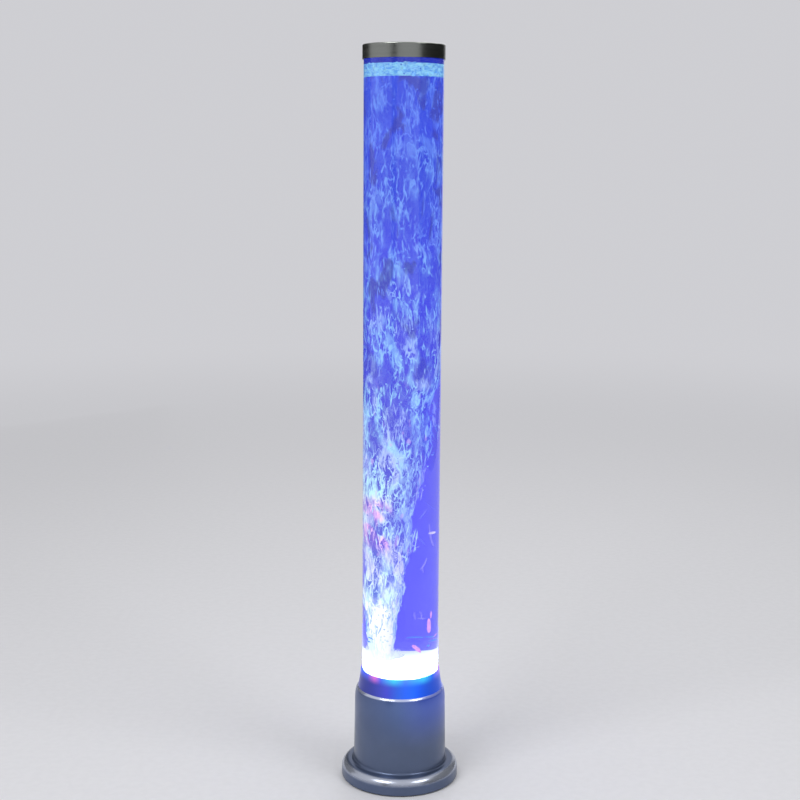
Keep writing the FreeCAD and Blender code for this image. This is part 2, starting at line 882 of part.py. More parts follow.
def make_nozzle_nut():
    body = new_body("nozzle_nut", x="-nozzle_offset", z=FLOOR_TOP)
    pad_up(body, "0", "nut_height", lambda s: hexagon(s, "nut_across_corners / 2"))
    pocket_up(body, "0", "nut_height", lambda s: circle(s, "0", "0", "nozzle_radius"))


def make_air_stone():
    """A porous stone with rounded edges, pushed over the nozzle's end."""
    body = new_body("air_stone", x="-nozzle_offset", z=FLOOR_TOP + " + nut_height")
    socket = "nozzle_reach - nut_height"
    turned(body, [
        ("nozzle_radius", "0"),
        ("stone_radius - stone_round", "0"),
        ("stone_radius", "stone_round", "stone_round", "left"),
        ("stone_radius", "stone_height - stone_round"),
        ("stone_radius - stone_round", "stone_height", "stone_round", "left"),
        ("0", "stone_height"),
        ("0", socket),
        ("nozzle_radius", socket),
    ])


def make_check_valve_body():
    """The lower half of the check valve: hose tail, cup and raised seat."""
    body = new_body("check_valve_body", x="-valve_offset")
    cup_inside = "valve_radius - valve_wall"
    seat = "(valve_cup_level + valve_wall - 1)"
    turned(body, [
        ("nozzle_bore_radius", "valve_level"),
        *barbs("valve_level", "valve_cup_level"),
        ("valve_radius", "valve_cup_level"),
        ("valve_radius", "valve_joint_level"),
        (cup_inside, "valve_joint_level"),
        (cup_inside, seat),
        ("valve_seat_radius", seat),
        ("valve_seat_radius", seat + " + valve_seat"),
        ("nozzle_bore_radius", seat + " + valve_seat"),
    ])


def make_check_valve_cap():
    """The upper half of the check valve, with the tail for the hose to the nozzle."""
    body = new_body("check_valve_cap", x="-valve_offset")
    cup_inside = "valve_radius - valve_wall"
    roof = "(valve_cap_level - 2)"
    turned(body, [
        (cup_inside, "valve_joint_level"),
        ("valve_radius", "valve_joint_level"),
        ("valve_radius", "valve_cap_level - 1"),
        ("valve_radius - 1", "valve_cap_level", "1", "left"),
        *reversed(barbs("valve_top_level", "valve_cap_level")),
        ("nozzle_bore_radius", "valve_top_level"),
        ("nozzle_bore_radius", roof),
        (cup_inside, roof),
    ])


def make_check_valve_disc():
    """The loose rubber disc that lifts off its seat while air flows."""
    body = new_body("check_valve_disc", x="-valve_offset",
                    z="valve_cup_level + valve_wall - 1 + valve_seat + valve_disc_gap")
    pad_up(body, "0", "valve_disc", lambda s: circle(s, "0", "0", "valve_disc_radius"))


def make_hose(name, points):
    route = routed(points)
    outer = swept(route, size("hose_radius"))
    inner = swept(route, size("hose_bore_radius"))
    free_part(name, outer.cut(inner))


def make_hoses():
    """Two short soft hoses with an easy bend each way: pump to valve, valve to nozzle."""
    make_hose("hose_lower", [
        ("-outlet_offset", "0", "outlet_top_level - 5"),
        ("-outlet_offset", "0", "outlet_top_level + 5"),
        ("-valve_offset", "0", "valve_level - 5"),
        ("-valve_offset", "0", "valve_level + 5.5"),
    ])
    make_hose("hose_upper", [
        ("-valve_offset", "0", "valve_top_level - 6.5"),
        ("-valve_offset", "0", "valve_top_level + 4"),
        ("-nozzle_offset", "0", "nozzle_tail_level - 4"),
        ("-nozzle_offset", "0", "nozzle_tail_level + 6"),
    ])


# ---------------------------------------------------------------- diaphragm pump

def lug_corners(sketch, radius):
    for x in ("-lug_reach", "lug_reach"):
        for y in ("-lug_spread", "lug_spread"):
            circle(sketch, x, y, radius)


def lid_corners(sketch, radius):
    for x in ("pump_post - pump_length / 2", "pump_length / 2 - pump_post"):
        for y in ("pump_post - pump_width / 2", "pump_width / 2 - pump_post"):
            circle(sketch, x, y, radius)


def make_pump_case():
    """An open moulded tub with four ears, two cheeks for the lever's pin and a core seat."""
    body = new_body("pump_case")
    depth = "pump_lid_level - pump_level"
    pad_up(body, "pump_level", depth,
           lambda s: round_rectangle(s, "pump_length / 2", "pump_width / 2", "pump_round"))
    for side in ("-", ""):
        for y in ("-lug_spread", "lug_spread"):
            root = side + "(pump_length / 2 - 1)"
            tip = side + "lug_reach"

            def ear(sketch, y=y, root=root, tip=tip, side=side):
                bends = "left" if side == "" else "right"
                outline(sketch, [
                    (root, y + " - lug_radius"),
                    (tip, y + " - lug_radius"),
                    (side + "(lug_reach + lug_radius)", y, "lug_radius", bends),
                    (tip, y + " + lug_radius", "lug_radius", bends),
                    (root, y + " + lug_radius"),
                ])

            pad_up(body, "lug_level", "lug_thickness", ear)
    pocket_up(body, "lug_level", "lug_thickness",
              lambda s: lug_corners(s, "grommet_neck_radius"))
    pocket_up(body, "pump_level + pump_wall", depth + " - pump_wall",
              lambda s: round_rectangle(s, "pump_length / 2 - pump_wall",
                                        "pump_width / 2 - pump_wall", "pump_round - pump_wall"))
    floor = "(pump_level + pump_wall)"
    # Core seat, and one corner post for each lid screw.
    pad_up(body, floor, "arm_level - core_half_height - " + floor,
           lambda s: rectangle(s, "core_front + 3", "-core_width / 2", "core_back - 1",
                               "core_width / 2"))
    pad_up(body, floor, "pump_lid_level - pump_lip - " + floor,
           lambda s: lid_corners(s, "board_boss_radius"))
    pocket_up(body, "pump_lid_level - pump_lip - 8", "8",
              lambda s: lid_corners(s, "small_screw_radius"))
    # Cheeks that hold the lever's pin.
    for y in ("-cheek_spread - cheek_thickness / 2", "cheek_spread - cheek_thickness / 2"):
        extruded(body, "Pad", "XZ_Plane", "-(" + y + ")", "cheek_thickness",
                 lambda s: rectangle(s, "-pivot_offset - eye_radius", floor,
                                     "eye_radius - pivot_offset", "arm_level + eye_radius"),
                 backwards=True)
    extruded(body, "Pocket", "XZ_Plane", "0", "2 * cheek_spread + cheek_thickness",
             lambda s: circle(s, "-pivot_offset", "arm_level", "pivot_radius"), both_ways=True)


def make_pump_lid():
    """The pump's lid, with a locating lip, a pad that clamps the core and a hole for the outlet."""
    body = new_body("pump_lid")
    pad_up(body, "pump_lid_level", "pump_lid",
           lambda s: round_rectangle(s, "pump_length / 2", "pump_width / 2", "pump_round"))
    core_top = "(arm_level + core_half_height)"
    pad_up(body, core_top, "pump_lid_level - " + core_top,
           lambda s: rectangle(s, "core_front + 7", "-core_width / 2", "core_back - 1",
                               "core_width / 2"))

    def lip(sketch):
        for inward in (PUMP_LIP_OUT, PUMP_LIP_OUT + " + pump_lip"):
            round_rectangle(sketch, "pump_length / 2 - (%s)" % inward,
                            "pump_width / 2 - (%s)" % inward, "pump_round - (%s)" % inward)

    pad_up(body, "pump_lid_level - pump_lip", "pump_lip", lip)
    pocket_up(body, "pump_lid_level", "pump_lid",
              lambda s: circle(s, "-outlet_offset", "0", "barb_crest_radius + 0.2"))
    pocket_up(body, "pump_lid_level", "pump_lid",
              lambda s: circle(s, "lead_pump_x", "lead_pump_y", "2 * lead_radius"))
    pocket_up(body, "pump_lid_level - pump_lip", "pump_lid + pump_lip",
              lambda s: lid_corners(s, "small_screw_radius"))


def make_pump_screws():
    """Four lid screws, whose heads sit on the lid."""
    body = new_body("pump_screws")
    top = "(pump_lid_level + pump_lid)"
    pad_up(body, top + " - 9", "9", lambda s: lid_corners(s, "small_screw_radius"))
    pad_up(body, top, "small_screw_head", lambda s: lid_corners(s, "small_screw_head_radius"))


def make_pump_core():
    """The laminated E core: a yoke and three legs that point at the lever's magnets."""
    body = new_body("pump_core", z="arm_level")
    half = "core_half_height"
    centre = "core_centre_half"
    slot = "(core_centre_half + core_slot)"
    yoke = "core_back - core_yoke"
    extruded(body, "Pad", "XZ_Plane", "0", "core_width", lambda s: outline(s, [
        ("core_back", "-" + half),
        ("core_back", half),
        ("core_front", half),
        ("core_front", slot),
        (yoke, slot),
        (yoke, centre),
        ("core_front", centre),
        ("core_front", "-" + centre),
        (yoke, "-" + centre),
        (yoke, "-" + slot),
        ("core_front", "-" + slot),
        ("core_front", "-" + half),
    ]), both_ways=True)


def make_pump_coil():
    """The winding on the core's middle leg."""
    body = new_body("pump_coil", z="arm_level")
    high = "core_centre_half + core_slot - coil_gap"
    wide = "core_width / 2 + core_slot - coil_gap"

    def loop(sketch):
        rectangle(sketch, "-(" + wide + ")", "-(" + high + ")", wide, high)
        rectangle(sketch, "-core_width / 2 - coil_gap", "-core_centre_half - coil_gap",
                  "core_width / 2 + coil_gap", "core_centre_half + coil_gap")

    extruded(body, "Pad", "YZ_Plane", "core_back - core_yoke - coil_gap - coil_length",
             "coil_length", loop)


def make_pump_arm():
    """The rocking lever: eye, bar, head plate for the magnets and a seat for the diaphragm."""
    body = new_body("pump_arm", z="arm_level")
    bar = "arm_thickness / 2"
    head_back = HEAD_END + " - arm_head"
    extruded(body, "Pad", "XZ_Plane", "0", "arm_width",
             lambda s: rectangle(s, "-pivot_offset", "-" + bar, head_back + " + 1", bar),
             both_ways=True)
    extruded(body, "Pad", "XZ_Plane", "0", "arm_width",
             lambda s: circle(s, "-pivot_offset", "0", "eye_radius"), both_ways=True)
    extruded(body, "Pad", "XZ_Plane", "0", "arm_head_width",
             lambda s: rectangle(s, head_back, "-arm_head_height / 2", HEAD_END,
                                 "arm_head_height / 2"), both_ways=True)
    pad_up(body, bar, "bellows_seat",
           lambda s: circle(s, "-outlet_offset", "0", "bellows_small_radius - 1"))
    extruded(body, "Pocket", "XZ_Plane", "0", "2 * arm_width",
             lambda s: circle(s, "-pivot_offset", "0", "pivot_radius + pivot_gap"),
             both_ways=True)


def make_pump_magnets():
    """Two magnets, one above the other, on the lever's head."""
    body = new_body("pump_magnets", z="arm_level")

    def pair(sketch):
        for side in ("-", ""):
            rectangle(sketch, "-magnet_width / 2",
                      side + "magnet_spread - magnet_height / 2",
                      "magnet_width / 2", side + "magnet_spread + magnet_height / 2")

    extruded(body, "Pad", "YZ_Plane", HEAD_END, "magnet_thickness", pair)


def make_pump_pivot():
    body = new_body("pump_pivot", x="-pivot_offset", z="arm_level")
    extruded(body, "Pad", "XZ_Plane", "0", "pivot_length",
             lambda s: circle(s, "0", "0", "pivot_radius"), both_ways=True)


def make_pump_diaphragm():
    """A rubber cup between the lever and the valve head, with one soft fold."""
    body = new_body("pump_diaphragm", x="-outlet_offset")
    low = "(" + ARM_TOP + " + bellows_seat)"
    wall = "bellows_wall"
    turned(body, [
        ("0", low),
        ("bellows_small_radius", low),
        ("bellows_radius - 1", "head_level - 1"),
        ("bellows_radius + 1", "head_level - 1"),
        ("bellows_radius + 1", "head_level"),
        ("bellows_radius - 2", "head_level"),
        ("bellows_small_radius - 1", low + " + " + wall),
        ("0", low + " + " + wall),
    ])


def make_valve_head():
    """The block over the diaphragm: two flap pockets below, a hose outlet through the lid."""
    body = new_body("valve_head", x="-outlet_offset")
    turned(body, [
        ("nozzle_bore_radius", "head_level + 2 * flap_pocket"),
        ("0", "head_level + 2 * flap_pocket"),
        ("0", "head_level"),
        ("head_radius", "head_level"),
        ("head_radius", "pump_lid_level"),
        *reversed(barbs("outlet_top_level", "pump_lid_level", 1)),
        ("nozzle_bore_radius", "outlet_top_level"),
    ])

    def flap_holes(sketch, radius):
        circle(sketch, "-flap_spread", "0", radius)
        circle(sketch, "flap_spread", "0", radius)

    pocket_up(body, "head_level", "flap_pocket", lambda s: flap_holes(s, "flap_pocket_radius"))


def make_valve_flaps():
    """Two thin rubber discs, for inlet and outlet."""
    body = new_body("valve_flaps", x="-outlet_offset",
                    z="head_level + flap_pocket - flap_thickness")

    def discs(sketch):
        circle(sketch, "-flap_spread", "0", "flap_radius")
        circle(sketch, "flap_spread", "0", "flap_radius")

    pad_up(body, "0", "flap_thickness", discs)


def make_pump_grommets():
    """Four soft bushes: flange, neck in the ear, flange, round a post."""
    body = new_body("pump_grommets")
    flange_low = "lug_level - grommet_flange"
    pad_up(body, "cover_top_level", flange_low + " - cover_top_level",
           lambda s: lug_corners(s, "grommet_radius - 1"))
    pad_up(body, flange_low, "grommet_flange", lambda s: lug_corners(s, "grommet_radius"))
    pad_up(body, "lug_level", "lug_thickness", lambda s: lug_corners(s, "grommet_neck_radius"))
    pad_up(body, LUG_TOP, "grommet_flange", lambda s: lug_corners(s, "grommet_radius"))
    pocket_up(body, "cover_top_level", GROMMET_TOP + " - cover_top_level",
              lambda s: lug_corners(s, "post_radius"))


def make_post_screws():
    """Four washer-head screws that keep the pump's bushes on their posts."""
    body = new_body("post_screws")
    pad_up(body, GROMMET_TOP + " - 5", "5", lambda s: lug_corners(s, "small_screw_radius"))
    pad_up(body, GROMMET_TOP, "small_screw_head",
           lambda s: lug_corners(s, "grommet_neck_radius"))


# ---------------------------------------------------------------- control board and rear panel

def make_control_board():
    body = new_body("control_board")
    pad_rear(body, "board_face", "board_thickness",
             lambda s: rectangle(s, "-board_half_width", "board_level",
                                 "board_half_width", "board_top_level"))
    pocket_rear(body, "board_face", "board_thickness",
                lambda s: board_corners(s, "small_screw_radius"))


def make_board_screws():
    body = new_body("board_screws")
    pad_rear(body, "board_face", "pilot_depth - 3",
             lambda s: board_corners(s, "small_screw_radius"))
    pad_rear(body, "(board_face - small_screw_head)", "small_screw_head",
             lambda s: board_corners(s, "small_screw_head_radius"))


def make_board_chips():
    body = new_body("board_chips")

    def chips(sketch):
        for x, z in (("6", "74"), ("-18", "90")):
            rectangle(sketch, x, z, x + " + chip_width", z + " + chip_height")

    pad_rear(body, "(board_face - chip_thickness)", "chip_thickness", chips)


def make_board_capacitors():
    body = new_body("board_capacitors")

    def cans(sketch):
        circle(sketch, "-board_boss_x + 3", "62", "capacitor_radius")
        circle(sketch, "-board_boss_x + 3", "76", "capacitor_radius")

    pad_rear(body, "(board_face - capacitor_length)", "capacitor_length", cans)


def make_board_connectors():
    """One plug housing on the board for each lead."""
    body = new_body("board_connectors")
    half = " connector_width / 2"
    rise = " connector_height / 2"

    def housings(sketch):
        for x, z in (("0", "lead_jack_rise"), ("lead_pump_x", "lead_pump_level"),
                     ("-lead_light_x", "lead_light_level")):
            rectangle(sketch, x + " -" + half, z + " -" + rise, x + " +" + half, z + " +" + rise)

    pad_rear(body, "(board_face - connector_depth)", "connector_depth", housings)


def make_mode_switch():
    """The switch behind the button, on the board's rear face."""
    body = new_body("mode_switch", z="button_level")
    half = "switch_width / 2"
    pad_rear(body, BOARD_BACK, "switch_depth",
             lambda s: rectangle(s, "-" + half, "-" + half, half, half))
    pocket_rear(body, "(" + BOARD_BACK + " + 1)", "switch_depth - 1",
                lambda s: circle(s, "0", "0", "plunger_bore_radius"))


def make_switch_plunger():
    body = new_body("switch_plunger", z="button_level")
    pad_rear(body, "plunger_start", "button_stem_start - plunger_start",
             lambda s: circle(s, "0", "0", "plunger_radius"))


def make_mode_button():
    """The rear push button: stem, flange behind the wall and a domed cap outside."""
    body = new_body("mode_button", z="button_level")
    flange_start = "(button_flange_end - button_flange)"
    turned(body, [
        ("0", "button_stem_start"),
        ("button_stem_radius", "button_stem_start"),
        ("button_stem_radius", flange_start),
        ("button_flange_radius", flange_start),
        ("button_flange_radius", "button_flange_end"),
        ("button_radius", "button_flange_end"),
        ("button_radius", "button_end - button_round"),
        ("button_radius - button_round", "button_end", "button_round", "left"),
        ("0", "button_end"),
    ], plane="XY_Plane")


def make_dc_jack():
    """The power inlet: body behind the wall, threaded nose through it, socket and centre pin."""
    body = new_body("dc_jack", z="jack_level")
    bore_end = "jack_end - jack_bore_depth"
    turned(body, [
        ("0", "jack_body_start"),
        ("jack_body_radius", "jack_body_start"),
        ("jack_body_radius", "jack_shoulder"),
        ("jack_thread_radius", "jack_shoulder"),
        ("jack_thread_radius", "jack_end"),
        ("jack_bore_radius", "jack_end"),
        ("jack_bore_radius", bore_end),
        ("jack_pin_radius", bore_end),
        ("jack_pin_radius", "jack_pin_end - 0.5"),
        ("jack_pin_radius - 0.5", "jack_pin_end", "0.5", "left"),
        ("0", "jack_pin_end"),
    ], plane="XY_Plane")

    def tabs(sketch):
        half = "jack_tab_width / 2"
        for x in ("-jack_tab_spread", "jack_tab_spread"):
            rectangle(sketch, x + " - " + half, "-" + half, x + " + " + half, half)

    pad_rear(body, "(jack_body_start - jack_tab)", "jack_tab + 1", tabs)


def make_jack_nut():
    body = new_body("jack_nut", z="jack_level")
    pad_rear(body, "jack_seat", "jack_nut", lambda s: hexagon(s, "jack_nut_radius"))
    pocket_rear(body, "jack_seat", "jack_nut",
                lambda s: circle(s, "0", "0", "jack_thread_radius"))


def make_leads():
    """Three internal leads, from the board's plug housings to what they serve."""
    plug = "board_face - connector_depth"
    free_part("jack_lead", swept(routed([
        ("0", "jack_body_start", "jack_level"),
        ("0", "lead_jack_turn", "jack_level"),
        ("0", "lead_jack_turn", "lead_jack_rise"),
        ("0", plug, "lead_jack_rise"),
    ]), size("lead_radius")))
    free_part("pump_lead", swept(routed([
        ("lead_pump_x", plug, "lead_pump_level"),
        ("lead_pump_x", "lead_pump_y", "lead_pump_level"),
        ("lead_pump_x", "lead_pump_y", "lead_pump_end"),
    ]), size("lead_radius")))
    free_part("led_lead", swept(routed([
        ("-lead_light_x", plug, "lead_light_level"),
        ("-lead_light_x", "lead_light_y", "lead_light_level"),
        ("-lead_light_x", "lead_light_y", LED_BOARD_TOP + " - led_board_thickness"),
    ]), size("lead_radius")))


# ---------------------------------------------------------------- build, check and write

MAKERS = [
    make_tube, make_tube_floor, make_tube_gasket, make_water_column, make_bubble_column,
    make_top_cap, make_cap_insert, make_cap_seal,
    make_tube_collar, make_base_shell, make_bottom_cover, make_rubber_feet,
    make_bottom_screws, make_collar_screws,
    make_led_board, make_leds, make_led_board_screws,
    make_air_nozzle, make_nozzle_seal, make_nozzle_nut, make_air_stone,
    make_check_valve_body, make_check_valve_cap, make_check_valve_disc, make_hoses,
    make_pump_case, make_pump_lid, make_pump_screws, make_pump_core, make_pump_coil,
    make_pump_arm, make_pump_magnets, make_pump_pivot, make_pump_diaphragm,
    make_valve_head, make_valve_flaps, make_pump_grommets, make_post_screws,
    make_control_board, make_board_screws, make_board_chips, make_board_capacitors,
    make_board_connectors, make_mode_switch, make_switch_plunger, make_mode_button,
    make_dc_jack, make_jack_nut, make_leads,
]
for make in MAKERS:
    make()
doc.recompute()

parts = [o for o in doc.Objects if o.TypeId in ("PartDesign::Body", "Part::Feature")]
faults = [o.Label for o in doc.Objects if {"Invalid", "Error"} & set(o.State)]
faults += [p.Label for p in parts if p.Shape.isNull() or not p.Shape.isValid()]
if faults:
    raise RuntimeError("these did not build: " + ", ".join(sorted(set(faults))))

os.makedirs("parts", exist_ok=True)
for part in parts:
    part.Shape.exportStep("parts/%s.step" % part.Label)
    box = part.Shape.BoundBox
    print("%-18s %2d solids %10.1f mm3  x %.1f..%.1f  y %.1f..%.1f  z %.1f..%.1f" % (
        part.Label, len(part.Shape.Solids), part.Shape.Volume,
        box.XMin, box.XMax, box.YMin, box.YMax, box.ZMin, box.ZMax))
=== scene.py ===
"""The looks of a bubble tube floor lamp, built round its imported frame: a clear tube of lit blue water and
rising bubbles on a satin silver base, on a plain pale floor. Everything is in metres, with Z up."""

import json
import math
import random

import bpy
from mathutils import Euler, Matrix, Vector, noise
from mathutils.bvhtree import BVHTree


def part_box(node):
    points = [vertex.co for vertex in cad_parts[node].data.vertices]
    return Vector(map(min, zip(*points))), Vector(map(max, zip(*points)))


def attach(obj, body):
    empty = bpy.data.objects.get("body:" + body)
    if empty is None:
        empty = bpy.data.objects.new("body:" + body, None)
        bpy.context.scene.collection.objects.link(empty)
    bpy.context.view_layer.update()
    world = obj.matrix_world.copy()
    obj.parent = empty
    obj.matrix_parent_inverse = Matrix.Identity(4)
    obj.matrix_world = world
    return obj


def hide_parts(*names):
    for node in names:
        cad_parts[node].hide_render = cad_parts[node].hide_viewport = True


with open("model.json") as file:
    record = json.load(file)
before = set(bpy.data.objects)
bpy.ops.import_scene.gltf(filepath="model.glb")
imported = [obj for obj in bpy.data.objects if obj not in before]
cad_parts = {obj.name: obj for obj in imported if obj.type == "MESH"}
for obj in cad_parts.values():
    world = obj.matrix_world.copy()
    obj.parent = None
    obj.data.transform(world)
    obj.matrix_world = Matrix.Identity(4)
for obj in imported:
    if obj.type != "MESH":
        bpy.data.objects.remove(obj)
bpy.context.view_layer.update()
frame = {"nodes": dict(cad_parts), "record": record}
SLOT_COLOUR = {entry["slot"]: tuple(entry["base_color"][:3]) for entry in frame["record"]["materials"]}

# ---------------------------------------------------------------- sizes, read from the frame
MM = 0.001
TUBE_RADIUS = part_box("tube")[1].x
WATER_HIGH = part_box("water_column")[1]
WATER_RADIUS = WATER_HIGH.x
WATER_TOP = WATER_HIGH.z
FLOOR_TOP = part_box("tube_floor")[1].z
CAP_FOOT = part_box("top_cap")[0].z
COLLAR_LOW, COLLAR_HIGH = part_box("tube_collar")
SHELL_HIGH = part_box("base_shell")[1]
SHELL_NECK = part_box("tube_collar")[1].x
STONE_LOW, STONE_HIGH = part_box("air_stone")
STONE = (STONE_LOW + STONE_HIGH) / 2
# The level where the bell's rounded foot ends and its hollow side begins.
LEDGE_LEVEL = 23 * MM

# ---------------------------------------------------------------- meshes
SHARP_FROM = math.radians(35)


def mesh_object(name, points, faces, smooth=True):
    """A new object from points and faces, linked to the scene."""
    mesh = bpy.data.meshes.new(name)
    mesh.from_pydata(points, [], faces)
    mesh.update()
    if smooth:
        mesh.shade_smooth()
    made = bpy.data.objects.new(name, mesh)
    bpy.context.scene.collection.objects.link(made)
    return made


def lathe(name, profile, segments=192):
    """A closed solid turned about the Z axis from a list of (radius, height) corners, lowest axis point
    first."""
    points = []
    rows = []
    for radius, height in profile:
        if radius == 0:
            rows.append([len(points)])
            points.append((0, 0, height))
            continue
        rows.append(list(range(len(points), len(points) + segments)))
        for step in range(segments):
            angle = math.tau * step / segments
            points.append((radius * math.cos(angle), radius * math.sin(angle), height))
    faces = []
    for low, high in zip(rows, rows[1:] + rows[:1]):
        for step in range(segments):
            near, far = step, (step + 1) % segments
            if len(low) == 1 and len(high) == 1:
                break
            if len(low) == 1:
                faces.append((low[0], high[far], high[near]))
            elif len(high) == 1:
                faces.append((low[near], low[far], high[0]))
            else:
                faces.append((low[near], low[far], high[far], high[near]))
    made = mesh_object(name, points, faces)
    made.data.set_sharp_from_angle(angle=SHARP_FROM)
    return made


class Swarm:
    """Many closed blobs and threads in one mesh. Each is a row of rings with a point at either end."""

    def __init__(self):
        self.points = []
        self.faces = []

    def blob(self, centres, radii, turn, flat, sides):
        """Adds one blob of level rings: their centres from low to high, their radii, the heading of the wide
        side and how much thinner the other side is."""
        first = len(self.points)
        along = Vector((math.cos(turn), math.sin(turn), 0))
        across = Vector((-math.sin(turn), math.cos(turn), 0)) * flat
        self.points.append(tuple(centres[0]))
        for centre, radius in zip(centres[1:-1], radii[1:-1]):
            for side in range(sides):
                angle = math.tau * side / sides
                offset = along * math.cos(angle) + across * math.sin(angle)
                self.points.append(tuple(centre + offset * radius))
        self.points.append(tuple(centres[-1]))
        self.skin(first, len(centres) - 2, sides)

    def thread(self, points, radii, sides):
        """Adds one thread along a line of points, round in section and pointed at both ends."""
        first = len(self.points)
        whole = (points[-1] - points[0]).normalized()
        beside = Vector((0, 0, 1)) if abs(whole.z) < 0.7 else Vector((0, 1, 0))
        self.points.append(tuple(points[0]))
        for before, at, after, radius in zip(points, points[1:], points[2:], radii[1:]):
            along = (after - before).normalized()
            side = along.cross(beside).normalized()
            up = along.cross(side)
            for step in range(sides):
                angle = math.tau * step / sides
                self.points.append(tuple(at + (side * math.cos(angle) + up * math.sin(angle)) * radius))
        self.points.append(tuple(points[-1]))
        self.skin(first, len(points) - 2, sides)

    def skin(self, first, rings, sides):
        """The faces of the blob or thread whose points start at first."""
        last = len(self.points) - 1
        for side in range(sides):
            after = (side + 1) % sides
            self.faces.append((first, first + 1 + after, first + 1 + side))
            for ring in range(rings - 1):
                low = first + 1 + ring * sides
                high = low + sides
                self.faces.append((low + side, low + after, high + after, high + side))
            top = first + 1 + (rings - 1) * sides
            self.faces.append((top + side, top + after, last))

    def build(self, name):
        """The whole swarm as one object."""
        return mesh_object(name, self.points, self.faces)


# ---------------------------------------------------------------- finishes


class Finish:
    """One procedural material round a Principled shader, with short calls for the nodes that feed it."""

    def __init__(self, name, colour=None, **values):
        self.material = bpy.data.materials.new(name)
        self.material.use_nodes = True
        self.tree = self.material.node_tree
        self.shader = self.tree.nodes["Principled BSDF"]
        self.output = self.tree.nodes["Material Output"]
        if colour is not None:
            self.shader.inputs["Base Color"].default_value = (*colour, 1)
        for socket, value in values.items():
            self.shader.inputs[socket.replace("_", " ")].default_value = value

    def node(self, kind, **settings):
        """A new node of a kind, with its settings."""
        made = self.tree.nodes.new(kind)
        for name, value in settings.items():
            setattr(made, name, value)
        return made

    def put(self, source, target):
        """Feeds a shader socket by name, or any other socket."""
        if isinstance(target, str):
            target = self.shader.inputs[target]
        self.tree.links.new(source, target)

    def place(self, stretch=(1, 1, 1)):
        """Object coordinates in metres, scaled along each axis."""
        source = self.node("ShaderNodeTexCoord").outputs["Object"]
        mapping = self.node("ShaderNodeMapping")
        mapping.inputs["Scale"].default_value = stretch
        self.tree.links.new(source, mapping.inputs["Vector"])
        return mapping.outputs["Vector"]

    def axis(self, name):
        """One object coordinate, X, Y or Z, in metres."""
        split = self.node("ShaderNodeSeparateXYZ")
        self.tree.links.new(self.node("ShaderNodeTexCoord").outputs["Object"], split.inputs[0])
        return split.outputs[name]

    def noise(self, scale, detail=3.0, stretch=(1, 1, 1), distortion=0.0, at=None):
        """Smooth noise of about 0 to 1 with a middle of 0.5; scale is its number of cells in a metre."""
        made = self.node("ShaderNodeTexNoise")
        made.inputs["Scale"].default_value = scale
        made.inputs["Detail"].default_value = detail
        made.inputs["Distortion"].default_value = distortion
        self.tree.links.new(at or self.place(stretch), made.inputs["Vector"])
        return made.outputs["Fac"]

    def turned(self, lengthwise):
        """Coordinates for marks that run round the Z axis, on a wall and on a flat end alike."""
        out = self.node("ShaderNodeVectorMath", operation="LENGTH")
        self.tree.links.new(self.place((1, 1, 0)), out.inputs[0])
        rings = self.node("ShaderNodeCombineXYZ")
        steps = self.math("ADD", out.outputs["Value"], self.axis("Z"))
        self.tree.links.new(self.math("MULTIPLY", steps, lengthwise), rings.inputs["Z"])
        total = self.node("ShaderNodeVectorMath", operation="ADD")
        self.tree.links.new(self.place((0.3, 0.3, 0)), total.inputs[0])
        self.tree.links.new(rings.outputs[0], total.inputs[1])
        return total.outputs["Vector"]

    def cells(self, scale, output="Distance", feature="F1"):
        """Cells round scattered points; scale is their number in a metre."""
        made = self.node("ShaderNodeTexVoronoi", feature=feature)
        made.inputs["Scale"].default_value = scale
        self.tree.links.new(self.place(), made.inputs["Vector"])
        return made.outputs[output]

    def lines(self, scale, width, detail=2.0, stretch=(1, 1, 1), distortion=0.0):
        """Wandering lines, 1 on the line and 0 away from it, where a noise crosses its middle."""
        wave = self.math("SUBTRACT", self.noise(scale, detail, stretch, distortion), 0.5)
        return self.spread(self.math("ABSOLUTE", wave), 0.0, width, 1.0, 0.0)

    def spread(self, value, low, high, out_low=0.0, out_high=1.0, shape="SMOOTHSTEP"):
        """A value taken from the span low..high to out_low..out_high, held at the ends."""
        made = self.node("ShaderNodeMapRange", interpolation_type=shape)
        made.inputs["From Min"].default_value = low
        made.inputs["From Max"].default_value = high
        made.inputs["To Min"].default_value = out_low
        made.inputs["To Max"].default_value = out_high
        self.tree.links.new(value, made.inputs["Value"])
        return made.outputs["Result"]

    def ramp(self, value, *stops):
        """A colour from a value, through (place, colour) stops."""
        made = self.node("ShaderNodeValToRGB")
        elements = made.color_ramp.elements
        while len(elements) < len(stops):
            elements.new(1.0)
        for element, (place, colour) in zip(elements, stops):
            element.position = place
            element.color = (*colour, 1)
        self.tree.links.new(value, made.inputs["Fac"])
        return made.outputs["Color"]

    def mix(self, amount, first, second, blend="MIX"):
        """Two colours mixed by an amount; each may be a socket or a plain value."""
        made = self.node("ShaderNodeMix", data_type="RGBA", blend_type=blend)
        for socket, value in ((made.inputs[0], amount), (made.inputs[6], first), (made.inputs[7], second)):
            if isinstance(value, bpy.types.NodeSocket):
                self.tree.links.new(value, socket)
            elif isinstance(value, tuple):
                socket.default_value = (*value, 1)
            else:
                socket.default_value = value
        return made.outputs[2]

    def math(self, operation, first, second=0.0):
        """A calculation with one or two values; each may be a socket or a number."""
        made = self.node("ShaderNodeMath", operation=operation)
        for socket, value in zip(made.inputs, (first, second)):
            if isinstance(value, bpy.types.NodeSocket):
                self.tree.links.new(value, socket)
            else:
                socket.default_value = value
        return made.outputs[0]

    def bump(self, height, depth, strength):
        """Fine relief from a height of 0 to 1, over a depth in metres."""
        made = self.node("ShaderNodeBump")
        made.inputs["Strength"].default_value = strength
        made.inputs["Distance"].default_value = depth
        self.tree.links.new(height, made.inputs["Height"])
        self.put(made.outputs["Normal"], "Normal")

